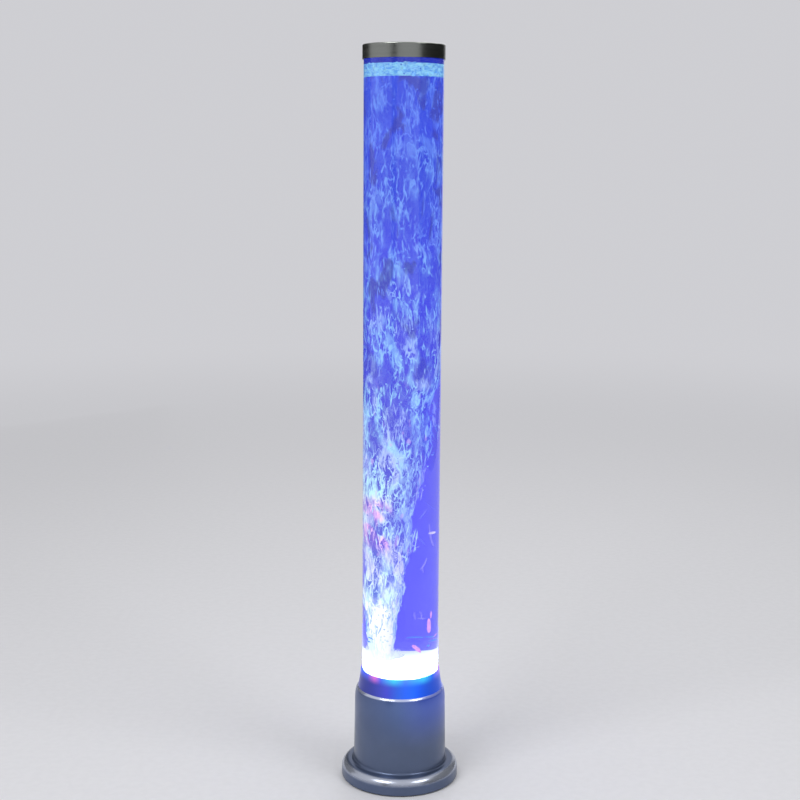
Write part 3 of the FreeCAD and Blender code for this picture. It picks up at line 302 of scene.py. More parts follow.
    def lit(self, colour, strength):
        """Makes the finish glow with a colour, which may be a socket. Rays find the glow, and it isn't
        sampled as a lamp."""
        if isinstance(colour, tuple):
            self.shader.inputs["Emission Color"].default_value = (*colour, 1)
        else:
            self.put(colour, "Emission Color")
        self.shader.inputs["Emission Strength"].default_value = strength
        self.material.cycles.emission_sampling = "NONE"


def darker(colour, share):
    """A colour times a share, which may be over 1."""
    return tuple(channel * share for channel in colour)


def satin_silver(name="satin_silver", colour=(0.105, 0.14, 0.235), coat=0.2):
    """Silver paint on a moulding: fine flakes, a little orange peel, and cloudy handling marks."""
    made = Finish(name, Metallic=0.7, IOR=1.5, Coat_Weight=coat, Coat_Roughness=0.2)
    flakes = made.cells(2600, output="Color")
    shade = made.mix(flakes, darker(colour, 0.93), darker(colour, 1.07))
    cloud = made.spread(made.noise(22, 4), 0.35, 0.7)
    made.put(made.mix(cloud, shade, darker(colour, 0.92)), "Base Color")
    made.put(made.spread(made.noise(60, 5), 0.3, 0.75, 0.28, 0.38), "Roughness")
    made.bump(made.noise(700, 1), 0.00002, 0.4)
    return made


def shell_silver():
    """The bell's silver, with a painted highlight on its shoulder and along the top of its foot, where the
    colour is painted lighter and the roughness is lower, and with painted blue light from the tube glowing
    on its upper part."""
    made = satin_silver("shell_silver")
    height = made.axis("Z")
    # Painted highlight bands: the shoulder and the top of the foot get a lighter colour and a lower
    # roughness.
    shoulder = made.spread(height, SHELL_HIGH.z - 3.2 * MM, SHELL_HIGH.z - 2.0 * MM)
    foot = made.spread(height, LEDGE_LEVEL - 11 * MM, LEDGE_LEVEL - 5 * MM)
    foot = made.math("MULTIPLY", foot, made.spread(height, LEDGE_LEVEL - 0.4 * MM, LEDGE_LEVEL - 2 * MM))
    bright = made.math("MAXIMUM", shoulder, made.math("MULTIPLY", foot, 0.75))
    painted = made.shader.inputs["Base Color"].links[0].from_socket
    matt = made.shader.inputs["Roughness"].links[0].from_socket
    made.put(made.mix(bright, painted, (0.62, 0.66, 0.76)), "Base Color")
    made.put(made.mix(bright, matt, (0.2, 0.2, 0.2)), "Roughness")
    # Painted light: the tube's blue light glows on the upper part of the bell, bluer towards the right.
    spill = made.spread(height, SHELL_HIGH.z - 75 * MM, SHELL_HIGH.z)
    side = made.spread(made.axis("X"), -SHELL_NECK, SHELL_NECK)
    hue = made.ramp(side, (0.0, (0.0, 0.005, 0.04)), (0.45, (0.005, 0.03, 0.14)), (0.9, (0.0, 0.02, 0.26)))
    made.lit(made.mix(spill, (0.0, 0.0, 0.0), hue), 1.0)
    return made


def rim_hues(made):
    """The colours that the single lights throw round the foot of the tube, by their place round it."""
    turn = made.node("ShaderNodeTexGradient", gradient_type="RADIAL")
    made.tree.links.new(made.place(), turn.inputs["Vector"])
    return made.ramp(
        turn.outputs["Fac"],
        (0.06, (0.02, 0.10, 1.0)), (0.10, (0.10, 0.12, 0.9)), (0.14, (0.95, 0.20, 0.75)),
        (0.17, (0.08, 0.15, 1.0)), (0.225, (0.05, 0.85, 1.0)), (0.27, (0.10, 0.30, 1.0)),
        (0.35, (0.05, 0.75, 1.0)), (0.40, (0.0, 0.15, 1.0)), (0.52, (0.7, 0.25, 0.9)),
        (0.60, (0.05, 0.2, 1.0)), (0.74, (0.05, 0.8, 1.0)), (0.86, (0.45, 0.2, 1.0)),
    )


def collar_silver():
    """The neck's silver: a darker, bluer shaded copy of the bell's, with painted light from the tube's foot
    spread down over it as a glow.
    """
    # A shaded copy of the silver: painted darker and bluer than the bell's.
    made = satin_silver("collar_silver", (0.03, 0.05, 0.15), 0.1)
    height = made.axis("Z")
    glow = made.spread(height, COLLAR_LOW.z + 60 * MM, COLLAR_HIGH.z, 0.35, 1.0)
    side = made.spread(made.axis("X"), -TUBE_RADIUS, TUBE_RADIUS)
    hue = made.ramp(side, (0.0, (0.02, 0.02, 0.20)), (0.25, (0.05, 0.05, 0.55)), (0.45, (0.015, 0.10, 0.70)),
                    (0.75, (0.0, 0.12, 1.05)), (1.0, (0.0, 0.05, 0.5)))
    spots = made.spread(height, COLLAR_HIGH.z - 11 * MM, COLLAR_HIGH.z, 0.0, 0.75)
    hue = made.mix(spots, hue, rim_hues(made))
    made.lit(made.mix(glow, (0.0, 0.0, 0.0), hue), 1.0)
    return made


def brushed_aluminium():
    """Turned aluminium: fine rings of brushing round the cap, and a few broader bands of tone."""
    made = Finish("brushed_cap", Metallic=1.0, Anisotropic=0.75)
    tangent = made.node("ShaderNodeTangent", direction_type="RADIAL", axis="Z")
    made.put(tangent.outputs["Tangent"], "Tangent")
    lines = made.noise(45, 6, at=made.turned(90))
    made.put(made.ramp(lines, (0.3, (0.27, 0.285, 0.26)), (0.7, (0.34, 0.355, 0.33))), "Base Color")
    made.put(made.spread(lines, 0.3, 0.7, 0.18, 0.27), "Roughness")
    made.bump(lines, 0.00002, 0.3)
    return made


def clear_acrylic():
    """Polished extruded acrylic with the faintest draw marks along it."""
    made = Finish("clear_acrylic", (0.93, 0.96, 1.0), Roughness=0.0, IOR=1.49, Transmission_Weight=1.0)
    marks = made.noise(160, 2, stretch=(1, 1, 0.02))
    made.bump(marks, 0.00002, 0.12)
    return made


def lit_acrylic():
    """The clear plug in the tube's foot over the ring of lights: white hot, with coloured spots low on its
    rim."""
    made = Finish("lit_acrylic", (0.8, 0.85, 0.95), Roughness=0.25, IOR=1.49)
    edge = made.spread(made.axis("Z"), COLLAR_HIGH.z + 4 * MM, COLLAR_HIGH.z + 0.5 * MM, 0.0, 0.9)
    patchy = made.spread(made.noise(55, 2), 0.38, 0.56)
    hue = made.mix(made.math("MULTIPLY", edge, patchy), (0.60, 0.70, 1.0), rim_hues(made))
    made.lit(hue, 7.0)
    return made


def moulded(name, slot, roughness, grain=1400, depth=0.00003, **values):
    """Plain moulded plastic in its slot's colour: fine grain, and roughness that wanders a little."""
    made = Finish(name, **values)
    colour = SLOT_COLOUR[slot]
    patch = made.spread(made.noise(70, 3), 0.3, 0.7)
    made.put(made.mix(patch, darker(colour, 0.9), darker(colour, 1.08)), "Base Color")
    made.put(made.spread(made.noise(240, 4), 0.3, 0.7, roughness - 0.06, roughness + 0.06), "Roughness")
    made.bump(made.noise(grain, 2), depth, 0.6)
    return made


def plated_steel():
    """Bright zinc on small steel parts, a little uneven."""
    made = Finish("plated_steel", Metallic=1.0)
    colour = SLOT_COLOUR["steel"]
    tint = made.spread(made.noise(300, 3), 0.3, 0.7)
    made.put(made.mix(tint, darker(colour, 0.85), colour), "Base Color")
    made.put(made.spread(made.noise(800, 3), 0.3, 0.7, 0.2, 0.38), "Roughness")
    return made


def laminated_iron():
    """Stamped sheets stacked into a core."""
    made = Finish("laminated_iron", Metallic=0.8)
    colour = SLOT_COLOUR["core_iron"]
    sheets = made.node("ShaderNodeTexWave", wave_type="BANDS", bands_direction="Y")
    sheets.inputs["Scale"].default_value = 320
    made.tree.links.new(made.place(), sheets.inputs["Vector"])
    made.put(made.ramp(sheets.outputs["Fac"], (0.2, darker(colour, 0.4)), (0.6, colour)), "Base Color")
    made.put(made.spread(made.noise(500, 3), 0.3, 0.7, 0.4, 0.6), "Roughness")
    made.bump(sheets.outputs["Fac"], 0.0001, 0.6)
    return made


def wound_copper():
    """Enamelled wire in close turns."""
    made = Finish("wound_copper", Metallic=0.9, Coat_Weight=0.6)
    colour = SLOT_COLOUR["copper"]
    turns = made.node("ShaderNodeTexWave", wave_type="BANDS", bands_direction="X")
    turns.inputs["Scale"].default_value = 420
    made.tree.links.new(made.place(), turns.inputs["Vector"])
    made.put(made.ramp(turns.outputs["Fac"], (0.0, darker(colour, 0.35)), (0.6, colour)), "Base Color")
    made.put(made.spread(made.noise(700, 2), 0.3, 0.7, 0.25, 0.4), "Roughness")
    made.bump(turns.outputs["Fac"], 0.00015, 0.8)
    return made


def board_green():
    """Lacquered circuit board with the shapes of its copper under the lacquer."""
    made = Finish("board_green", Coat_Weight=0.5)
    colour = SLOT_COLOUR["circuit_board"]
    tracks = made.cells(160, feature="DISTANCE_TO_EDGE")
    made.put(made.ramp(tracks, (0.04, darker(colour, 1.5)), (0.09, colour)), "Base Color")
    made.put(made.spread(made.noise(300, 2), 0.3, 0.7, 0.3, 0.42), "Roughness")
    made.bump(tracks, 0.00004, 0.4)
    return made


def porous_stone():
    """Sintered grains of an air stone, with a painted glow of its own colour that stands in for the light on
    it inside the tube.
    """
    made = Finish("porous_stone", Roughness=0.9)
    colour = SLOT_COLOUR["stone"]
    grains = made.cells(900)
    made.put(made.ramp(grains, (0.0, darker(colour, 1.2)), (0.7, darker(colour, 0.45))), "Base Color")
    made.bump(grains, 0.0004, 0.9)
    # Painted light: the stone glows though it is no lamp.
    made.lit(colour, 0.8)
    return made


def clear_rubber():
    """Milky silicone hose."""
    made = moulded("silicone", "hose_rubber", 0.35, grain=300)
    made.shader.inputs["Subsurface Weight"].default_value = 0.3
    made.shader.inputs["Subsurface Radius"].default_value = (0.002, 0.002, 0.002)
    return made


def led_glow():
    """Yellowish phosphor in a white package, lit."""
    made = Finish("led_glow", Roughness=0.3)
    colour = SLOT_COLOUR["led_package"]
    dots = made.cells(260)
    made.put(made.ramp(dots, (0.2, (0.9, 0.9, 0.6)), (0.6, colour)), "Base Color")
    made.lit((0.6, 0.8, 1.0), 3.0)
    return made


def dress_cad():
    """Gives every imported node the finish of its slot, and a few nodes one of their own."""
    finishes = {
        "silver_plastic": satin_silver(),
        "brushed_aluminium": brushed_aluminium(),
        "clear_acrylic": clear_acrylic(),
        "water": clear_acrylic(),
        "bubbles": air_finish(),
        "black_plastic": moulded("black_moulding", "black_plastic", 0.5),
        "white_plastic": moulded("white_moulding", "white_plastic", 0.4),
        "pump_plastic": moulded("pump_moulding", "pump_plastic", 0.5),
        "black_rubber": moulded("soft_rubber", "black_rubber", 0.78, grain=500, depth=0.0001),
        "hose_rubber": clear_rubber(),
        "steel": plated_steel(),
        "core_iron": laminated_iron(),
        "copper": wound_copper(),
        "ferrite": moulded("ground_ferrite", "ferrite", 0.55, grain=2200, Metallic=0.3),
        "circuit_board": board_green(),
        "led_package": led_glow(),
        "component_black": moulded("epoxy_black", "component_black", 0.45, grain=3000),
        "capacitor_sleeve": moulded("shrunk_sleeve", "capacitor_sleeve", 0.3, grain=600),
        "cable": moulded("insulation", "cable", 0.42, grain=900),
        "stone": porous_stone(),
    }
    own = {"tube_floor": lit_acrylic(), "tube_collar": collar_silver(), "base_shell": shell_silver()}
    for name, node in frame["nodes"].items():
        for slot in node.material_slots:
            finish = own.get(name) or finishes[slot.material.name]
            slot.material = finish.material


# ---------------------------------------------------------------- water and what rises in it
# The solid stands off the tube's wall by a gap. Here the water's skin goes a little into the wall, so that
# no film of air shows between them.
BORE_GAP = 0.1 * MM
WATER_OVERLAP = 0.1 * MM
WATER_SKIN = WATER_RADIUS + BORE_GAP + WATER_OVERLAP
FOAM_FOOT = WATER_TOP - 3.5 * MM
FOAM_TOP = WATER_TOP + 14.5 * MM


def water_finish():
    """Blue water: clear at its skin, and glowing and absorbing inside."""
    made = Finish("lit_water", (0.75, 0.8, 1.0), Roughness=0.0, IOR=1.333, Transmission_Weight=1.0)
    take = made.node("ShaderNodeVolumeAbsorption")
    take.inputs["Color"].default_value = (0.08, 0.05, 0.98, 1)
    take.inputs["Density"].default_value = 20
    glow = made.node("ShaderNodeEmission")
    glow.inputs["Color"].default_value = (0.145, 0.085, 0.96, 1)
    glow.inputs["Strength"].default_value = 5.0
    both = made.node("ShaderNodeAddShader")
    made.tree.links.new(take.outputs[0], both.inputs[0])
    made.tree.links.new(glow.outputs[0], both.inputs[1])
    made.tree.links.new(both.outputs[0], made.output.inputs["Volume"])
    made.material.cycles.emission_sampling = "NONE"
    return made


def make_water():
    """The water, from the tube's floor up to the wet wall under the cap."""
    low = FLOOR_TOP - WATER_OVERLAP
    high = CAP_FOOT + 1.0 * MM
    body = lathe("water_body", [(0, low), (WATER_SKIN, low), (WATER_SKIN, high), (0, high)])
    body.data.materials.append(water_finish().material)
    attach(body, "lamp")
    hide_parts("water_column")


AIR_LOW = FLOOR_TOP + 0.5 * MM
AIR_HIGH = FOAM_FOOT + 1 * MM
# The level from which the stream fills the tube about its axis.
AIR_FULL = 0.600


def solid_tree(name):
    """A node's mesh, ready for rays."""
    mesh = frame["nodes"][name].data
    return BVHTree.FromPolygons([v.co for v in mesh.vertices], [tuple(f.vertices) for f in mesh.polygons])


AIR_SOLID = solid_tree("bubble_column")


def middle(height):
    """A place well inside the stream at a height: over the stone low down, and on the axis higher up."""
    share = min(1.0, max(0.0, (AIR_FULL - height) / (AIR_FULL - STONE_HIGH.z)))
    return STONE.x * share


def stream_reach(height, angle):
    """How far the solid that stands for the stream goes from its middle, at a height and a heading."""
    height = min(WATER_TOP - 0.5 * MM, max(STONE_HIGH.z + 0.5 * MM, height))
    start = Vector((middle(height), 0, height))
    return AIR_SOLID.ray_cast(start, Vector((math.cos(angle), math.sin(angle), 0)))[3]


# The colours of the stream between its strands and of the strands, by share of the climb from stone to foam.
AIR_GROUND = (
    (0.00, (2.20, 2.30, 1.70)),
    (0.03, (1.20, 1.70, 1.30)),
    (0.055, (0.18, 0.62, 0.95)),
    (0.08, (0.16, 0.50, 0.88)),
    (0.11, (0.18, 0.32, 0.78)),
    (0.20, (0.18, 0.22, 0.72)),
    (0.35, (0.12, 0.13, 0.70)),
    (0.47, (0.10, 0.105, 0.78)),
    (0.65, (0.07, 0.085, 0.83)),
    (0.80, (0.045, 0.085, 0.76)),
    (1.00, (0.035, 0.085, 0.77)),
)
AIR_LIGHT = (
    (0.00, (2.20, 2.40, 1.70)),
    (0.12, (1.50, 2.10, 1.30)),
    (0.28, (1.00, 1.60, 1.20)),
    (0.42, (0.62, 1.15, 1.15)),
    (0.58, (0.42, 0.80, 1.10)),
    (0.74, (0.27, 0.52, 1.03)),
    (1.00, (0.15, 0.32, 0.96)),
)


def climb(made):
    """The height in the water as a share, 0 at the stone and 1 at the foam."""
    return made.spread(made.axis("Z"), AIR_LOW, AIR_HIGH, shape="LINEAR")


def air_light(made, height):
    """The colour of lit air at a height: cyan white, and low down in places more violet."""
    violet = made.spread(made.noise(36, 2, (1, 1, 0.6)), 0.46, 0.60)
    violet = made.math("MULTIPLY", violet, made.spread(height, 0.80, 0.45, 0.25, 1.0))
    violet = made.math("MULTIPLY", violet, made.spread(height, 0.11, 0.17))
    return made.mix(violet, made.ramp(height, *AIR_LIGHT), (1.22, 0.87, 1.0), "MULTIPLY")


def air_glow(made):
    """The light of dense bubbles: a net of bright strands, fine and white low down, broad and blue higher
    up, with a pink patch at the left and a blaze over the stone."""
    height = climb(made)
    ground = made.ramp(height, *AIR_GROUND)
    light = air_light(made, height)
    low_down = made.spread(height, 0.35, 0.75, 1.0, 0.0)
    crowded = made.spread(height, 0.24, 0.55, 0.45, 0.12)
    cluster = made.math("MAXIMUM", crowded, made.spread(made.noise(46, 3, (1, 1, 0.5), 0.3), 0.38, 0.56))
    haze = made.spread(made.noise(84, 3, (1, 1, 0.42), 0.5), 0.42, 0.64)
    share = made.math("MULTIPLY", cluster, made.math("ADD", 0.48, crowded))
    tone = made.mix(made.math("MULTIPLY", haze, share), ground, light)
    fine = made.lines(230, 0.055, 2, (1, 1, 0.40), 0.5)
    broken = made.spread(made.noise(95, 2, (1, 1, 0.5)), 0.40, 0.60)
    fine = made.math("MULTIPLY", fine, made.math("ADD", 0.2, made.math("MULTIPLY", low_down, 0.6)))
    tone = made.mix(made.math("MULTIPLY", fine, made.math("MULTIPLY", broken, cluster)), tone, light)
    wide = made.lines(125, 0.050, 2, (1, 1, 0.32), 0.5)
    tone = made.mix(made.math("MULTIPLY", wide, cluster), tone, light)
    flakes = made.spread(made.noise(150, 2, (1, 1, 0.30), 0.8), 0.60, 0.70)
    tone = made.mix(made.math("MULTIPLY", flakes, 0.95), tone, light)
    murk = made.spread(made.noise(42, 2, (1, 1, 0.5), 0.5), 0.55, 0.66)
    murk = made.math("MULTIPLY", murk, made.spread(height, 0.32, 0.7, 0.0, 0.8))
    tone = made.mix(murk, tone, (0.045, 0.060, 0.45))
    rosy = made.math("MULTIPLY", made.spread(height, 0.19, 0.22), made.spread(height, 0.31, 0.27))
    rosy = made.math("MULTIPLY", rosy, made.spread(made.axis("X"), -0.004, -0.016))
    rosy = made.math("MULTIPLY", rosy, made.spread(made.noise(60, 3, (1, 1, 0.6), 0.6), 0.40, 0.55))
    tone = made.mix(rosy, tone, (1.75, 0.82, 1.0), "MULTIPLY")
    blush = made.spread(made.noise(90, 1, (1, 1, 0.6)), 0.66, 0.74, 0.0, 0.5)
    blush = made.math("MULTIPLY", blush, made.spread(height, 0.52, 0.40))
    blush = made.math("MULTIPLY", blush, made.spread(height, 0.12, 0.18))
    tone = made.mix(blush, tone, (1.15, 0.75, 1.0))
    torn = made.math("MULTIPLY", made.noise(62, 2, (1, 1, 0.5), 0.4), 0.16)
    dense = made.spread(made.axis("X"), -0.003, -0.015, 0.35, 1.0)
    blaze = made.math("MULTIPLY", dense, made.spread(made.math("ADD", height, torn), 0.21, 0.16))
    blaze = made.math("MAXIMUM", blaze, made.spread(height, 0.080, 0.045))
    return made.mix(blaze, tone, (2.4, 2.4, 1.6))


def air_finish():
    """The dense stream: all of its colour is its own light."""
    made = Finish("rising_air", (0.0, 0.0, 0.0), Roughness=0.5, Specular_IOR_Level=0.0)
    made.lit(air_glow(made), 1.0)
    return made


def strand_finish(name, low_share, high_share):
    """Single strands and bubbles that glow: each has a tone of its own between the ground and the light at
    its height, painted brighter on the faces that look down to the lights below."""
    made = Finish(name, (0.0, 0.0, 0.0), Roughness=0.5, Specular_IOR_Level=0.0)
    height = climb(made)
    geometry = made.node("ShaderNodeNewGeometry")
    facing = made.node("ShaderNodeSeparateXYZ")
    made.tree.links.new(geometry.outputs["Normal"], facing.inputs[0])
    chance = made.spread(geometry.outputs["Random Per Island"], 0.0, 1.0, low_share, high_share, "LINEAR")
    # Painted light: faces that look down to the lights below are brighter.
    under = made.spread(facing.outputs["Z"], 0.8, -0.8, 0.65, 1.0)
    amount = made.math("MULTIPLY", chance, under)
    made.lit(made.mix(amount, made.ramp(height, *AIR_GROUND), air_light(made, height)), 1.0)
    return made


def glowing(name, colour):
    """A piece of one glowing colour: brighter where it faces down to the lights, with a wandering of
    tone."""
    made = Finish(name, (0.0, 0.0, 0.0), Roughness=0.4, Specular_IOR_Level=0.0)
    facing = made.node("ShaderNodeSeparateXYZ")
    made.tree.links.new(made.node("ShaderNodeNewGeometry").outputs["Normal"], facing.inputs[0])
    low_side = made.spread(facing.outputs["Z"], 0.9, -0.9)
    wander = made.spread(made.noise(130, 2), 0.3, 0.7)
    tone = made.mix(low_side, darker(colour, 0.62), colour)
    made.lit(made.mix(wander, tone, colour), 1.0)
    return made


# Where in the noise the sideways drift along Y is read. Both are read with noise.noise, which gives the same
# value in every run; noise.noise_vector doesn't.
DRIFT_SHIFT = Vector((19.3, -7.9, 31.7))


def drift(at):
    """How far the stream carries a strand sideways at a place, so that neighbours bend together."""
    place = Vector((at.x * 55, at.y * 55, at.z * 24))
    return Vector((noise.noise(place), noise.noise(place + DRIFT_SHIFT), 0)) * 5.5 * MM


def hold(at, width):
    """Keeps a point of a strand inside the bore."""
    out = math.hypot(at.x, at.y)
    limit = WATER_RADIUS - 1.2 * MM - width
    if out > limit:
        at.x *= limit / out
        at.y *= limit / out
    return at


def strand(draw, swarm, foot, length, width, lean):
    """One flame of air: a thin leaf that follows the stream, pointed at both ends and widest somewhere
    between."""
    rings = 7
    crest = draw.uniform(0.3, 0.7)
    turn = draw.uniform(0, math.tau)
    centres = []
    radii = []
    for step in range(rings + 2):
        share = step / (rings + 1)
        at = foot + Vector((lean.x * share, lean.y * share, length * share))
        centres.append(hold(at + drift(at), width))
        rise = share / crest if share < crest else (1 - share) / (1 - crest)
        lumps = 1 + 0.4 * noise.noise(at * 420)
        radii.append(width / 2 * max(0.05, rise) ** 0.8 * lumps)
    swarm.blob(centres, radii, turn, draw.uniform(0.4, 0.75), sides=5)


def round_bubble(draw, swarm, x, y, z, radius, squash=0.75):
    """One wobbling bubble, flattened as it rises."""
    rings = 5
    centres = []
    radii = []
    for step in range(rings + 2):
        angle = math.pi * step / (rings + 1)
        centres.append(Vector((x, y, z - radius * squash * math.cos(angle))))
        radii.append(radius * math.sin(angle))
    swarm.blob(centres, radii, draw.uniform(0, math.tau), draw.uniform(0.85, 1.0), sides=9)


def ride_in_water(piece, finish):
    """Gives a piece of froth its finish, and carries it with the lamp."""
    piece.data.materials.append(finish.material)
    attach(piece, "lamp")


CORE_SEGMENTS = 110
CORE_LEVELS = 380


def make_air_core():
    """The dense middle of the rising air: the stream's solid, with a finer unevenness all over it."""
    segments = CORE_SEGMENTS
    levels = CORE_LEVELS
    points = []
    for level in range(levels):
        z = AIR_LOW + (AIR_HIGH - AIR_LOW) * level / (levels - 1)
        for step in range(segments):
            angle = math.tau * step / segments
            reach = stream_reach(z, angle)
            at = Vector((middle(z) + reach * math.cos(angle), reach * math.sin(angle), z))
            lump = noise.noise(Vector((at.x * 150, at.y * 150, at.z * 65)))
            lump += 0.5 * noise.noise(Vector((at.x * 320, at.y * 320, at.z * 130)))
            reach += 1.6 * MM * lump
            at = Vector((middle(z) + reach * math.cos(angle), reach * math.sin(angle), z))
            points.append(tuple(hold(at, 0.0)))
    faces = []
    for level in range(levels - 1):
        for step in range(segments):
            after = (step + 1) % segments
            low, high = level * segments, (level + 1) * segments
            faces.append((low + step, low + after, high + after, high + step))
    faces.append(tuple(reversed(range(segments))))
    faces.append(tuple(range((levels - 1) * segments, levels * segments)))
    core = mesh_object("air_core", points, faces)
    ride_in_water(core, air_finish())
    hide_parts("bubble_column")


def fringe(draw, height, inner, outer):
    """A random place round the dense middle, between two multiples of its reach, inside the bore."""
    limit = WATER_RADIUS - 2.0 * MM
    while True:
        angle = draw.uniform(0, math.tau)
        out = stream_reach(height, angle) * draw.uniform(inner, outer)
        x, y = middle(height) + out * math.cos(angle), out * math.sin(angle)
        if math.hypot(x, y) < limit:
            return x, y


STRAND_COUNT = 1700
BURST_COUNT = 110


def make_strands():
    """Strands that stand off the dense middle, crowded against it low down and at the wall higher up, and a
    burst of short ones over the tube's floor round the stone."""
    draw = random.Random(7)
    near = Swarm()
    for _ in range(STRAND_COUNT):
        z = AIR_LOW + (AIR_HIGH - AIR_LOW) * draw.random() ** 1.4
        length = draw.uniform(7, 22) * MM
        if z + length > AIR_HIGH:
            continue
        x, y = fringe(draw, z, 0.92, 1.22)
        width = draw.uniform(0.8, 2.6) * MM
        lean = Vector((draw.uniform(-0.18, 0.18), draw.uniform(-0.18, 0.18), 0)) * length
        strand(draw, near, Vector((x, y, z)), length, width, lean)
        if draw.random() < 0.4:
            foot = Vector((x, y, z + length * draw.uniform(0.2, 0.5)))
            strand(draw, near, foot, length * 0.6, width * 0.7, lean * -1.2)
    for _ in range(BURST_COUNT):
        angle = draw.uniform(0, math.tau)
        out = draw.uniform(7, 17) * MM
        x, y = STONE.x + out * math.cos(angle), out * math.sin(angle)
        foot = Vector((x, y, FLOOR_TOP + draw.uniform(0.6, 3) * MM))
        lean = Vector((math.cos(angle) + 0.5, math.sin(angle), 0)) * draw.uniform(1.5, 5.5) * MM
        strand(draw, near, foot, draw.uniform(5, 13) * MM, draw.uniform(2.4, 4.6) * MM, lean)
    ride_in_water(near.build("air_strands"), strand_finish("strand_light", 0.25, 1.05))


BEAD_COUNT = 620
FAR_TRAIL_WIDTH = 1.3 * MM
# Trails behind the stream: the place of the foot, the length, and how far the top leans per length.
FAR_TRAILS = (
    (0.029, 0.020, 0.420, 0.016, 0.3), (0.026, 0.030, 0.355, 0.018, -0.4), (0.014, 0.038, 0.345, 0.015, 0.3),
    (0.030, 0.022, 0.400, 0.020, 0.2), (0.018, 0.036, 0.310, 0.018, -0.3), (0.036, 0.010, 0.290, 0.016, 0.2),
)


def make_stray_bubbles():
    """Small round bubbles all the way up, and a few thin trails on the clear side."""
    draw = random.Random(23)
    beads = Swarm()
    for _ in range(BEAD_COUNT):
        z = draw.uniform(AIR_LOW + 0.01, AIR_HIGH - 4 * MM)
        x, y = fringe(draw, z, 0.95, 1.3)
        round_bubble(draw, beads, x, y, z, draw.uniform(0.4, 1.5) * MM)
    for x, y, z, length, slope in FAR_TRAILS:
        strand(draw, beads, Vector((x, y, z)), length, FAR_TRAIL_WIDTH, Vector((slope * length, 0, 0)))
    ride_in_water(beads.build("stray_bubbles"), strand_finish("bead_light", 0.2, 0.9))


# Threads in the clear water, over the floor, and pink ones: the (x, z) of their start, bend and end in
# millimetres, and their width.
TRAILS = (
    ((27.8, 347.0), (29.1, 321.3), (33.7, 315.5), 1.5),
    ((18.4, 315.5), (12.6, 315.0), (7.4, 303.0), 1.4),
    ((27.8, 303.0), (25.2, 293.0), (20.0, 287.1), 1.6),
    ((20.4, 288.0), (19.2, 283.5), (21.3, 278.7), 1.5),
    ((17.9, 329.8), (15.0, 328.0), (13.3, 323.5), 1.1),
    ((13.7, 229.4), (14.0, 224.0), (15.2, 218.6), 1.7),
    ((17.0, 227.0), (20.0, 223.0), (19.0, 219.0), 1.6),
    ((22.0, 228.0), (21.0, 222.0), (24.0, 219.0), 1.4),
    ((16.0, 219.0), (20.0, 217.0), (25.0, 218.5), 1.3),
)
SWIRLS = (
    ((5.0, 192.6), (14.5, 195.5), (23.0, 192.2), 2.0),
    ((22.0, 192.6), (28.0, 190.0), (33.0, 191.5), 1.4),
    ((-36.0, 193.5), (-33.0, 194.5), (-28.5, 190.9), 1.6),
    ((26.0, 184.5), (31.0, 186.0), (36.0, 185.0), 1.8),
    ((-35.0, 187.0), (-31.0, 185.0), (-27.0, 186.0), 1.8),
    ((-37.0, 199.0), (-38.0, 208.0), (-36.0, 217.0), 1.6),
)
ROSY = (
    ((28.2, 218.5), (28.6, 208.0), (28.4, 198.2), 5.0),
    ((28.8, 226.5), (29.0, 222.0), (28.4, 216.0), 1.6),
    ((12.1, 185.6), (16.5, 182.0), (21.8, 174.5), 4.6),
    ((36.0, 194.0), (34.0, 193.0), (31.0, 189.5), 1.2),
)
# The threads are set at depths of up to this much in front of the axis and behind it.
TRAIL_DEPTH = 10 * MM
# One long flat bubble, in millimetres: the (x, z) of its middle, the lean of its half length, and its half
# width.
FLAT_MIDDLE = (31.4, 333.5)
FLAT_LEAN = (0.8, 1.7)
FLAT_RADIUS = 4.4
FLAT_THINNESS = 0.4
# One round bubble over the floor, in millimetres.
LOW_BUBBLE = (27.9, 181.0)
LOW_BUBBLE_RADIUS = 1.8


BEND_STEPS = 14


def bent(swarm, trail, number):
    """A thread of one bend that swells and thins along its length, at a depth that its number scatters."""
    depth = TRAIL_DEPTH * math.sin(2.4 * number)
    start, bend, end = (Vector((x * MM, depth, z * MM)) for x, z in trail[:3])
    points = []
    radii = []
    for step in range(BEND_STEPS + 1):
        share = step / BEND_STEPS
        points.append(start.lerp(bend, share).lerp(bend.lerp(end, share), share))
        lumps = 1 + 0.35 * noise.noise(points[-1] * 300)
        radii.append(trail[3] * MM / 2 * math.sin(math.pi * share) ** 0.5 * lumps)
    swarm.thread(points, radii, sides=9)


def threads(table):
    """A swarm with one bent thread for each row of a table."""
    swarm = Swarm()
    for number, trail in enumerate(table):
        bent(swarm, trail, number)
    return swarm


def flat_bubble():
    """A swarm of one: a long flat bubble that stands on a slant."""
    swarm = Swarm()
    rings = 7
    centres = []
    radii = []
    for step in range(rings + 2):
        turn = math.pi * step / (rings + 1)
        x = FLAT_MIDDLE[0] * MM - FLAT_LEAN[0] * MM * math.cos(turn)
        z = FLAT_MIDDLE[1] * MM - FLAT_LEAN[1] * MM * math.cos(turn)
        centres.append(Vector((x, 0, z)))
        radii.append(FLAT_RADIUS * MM * math.sin(turn))
    swarm.blob(centres, radii, 0.0, FLAT_THINNESS, sides=12)
    return swarm


def make_trails():
    """What wanders in the clear water: thin trails, one long flat bubble, a swirl over the floor, and two
    bubbles that catch a pink light."""
    ride_in_water(threads(TRAILS).build("trails"), glowing("trail_light", (0.62, 0.58, 1.05)))
    ride_in_water(flat_bubble().build("flat_bubble"), glowing("flat_light", (1.35, 1.25, 1.15)))
    swirl = threads(SWIRLS)
    draw = random.Random(3)
    round_bubble(draw, swirl, LOW_BUBBLE[0] * MM, 0, LOW_BUBBLE[1] * MM, LOW_BUBBLE_RADIUS * MM)
    ride_in_water(swirl.build("floor_swirl"), glowing("swirl_light", (0.22, 0.75, 1.1)))
    ride_in_water(threads(ROSY).build("pink_bubbles"), glowing("pink_light", (1.9, 0.85, 1.15)))


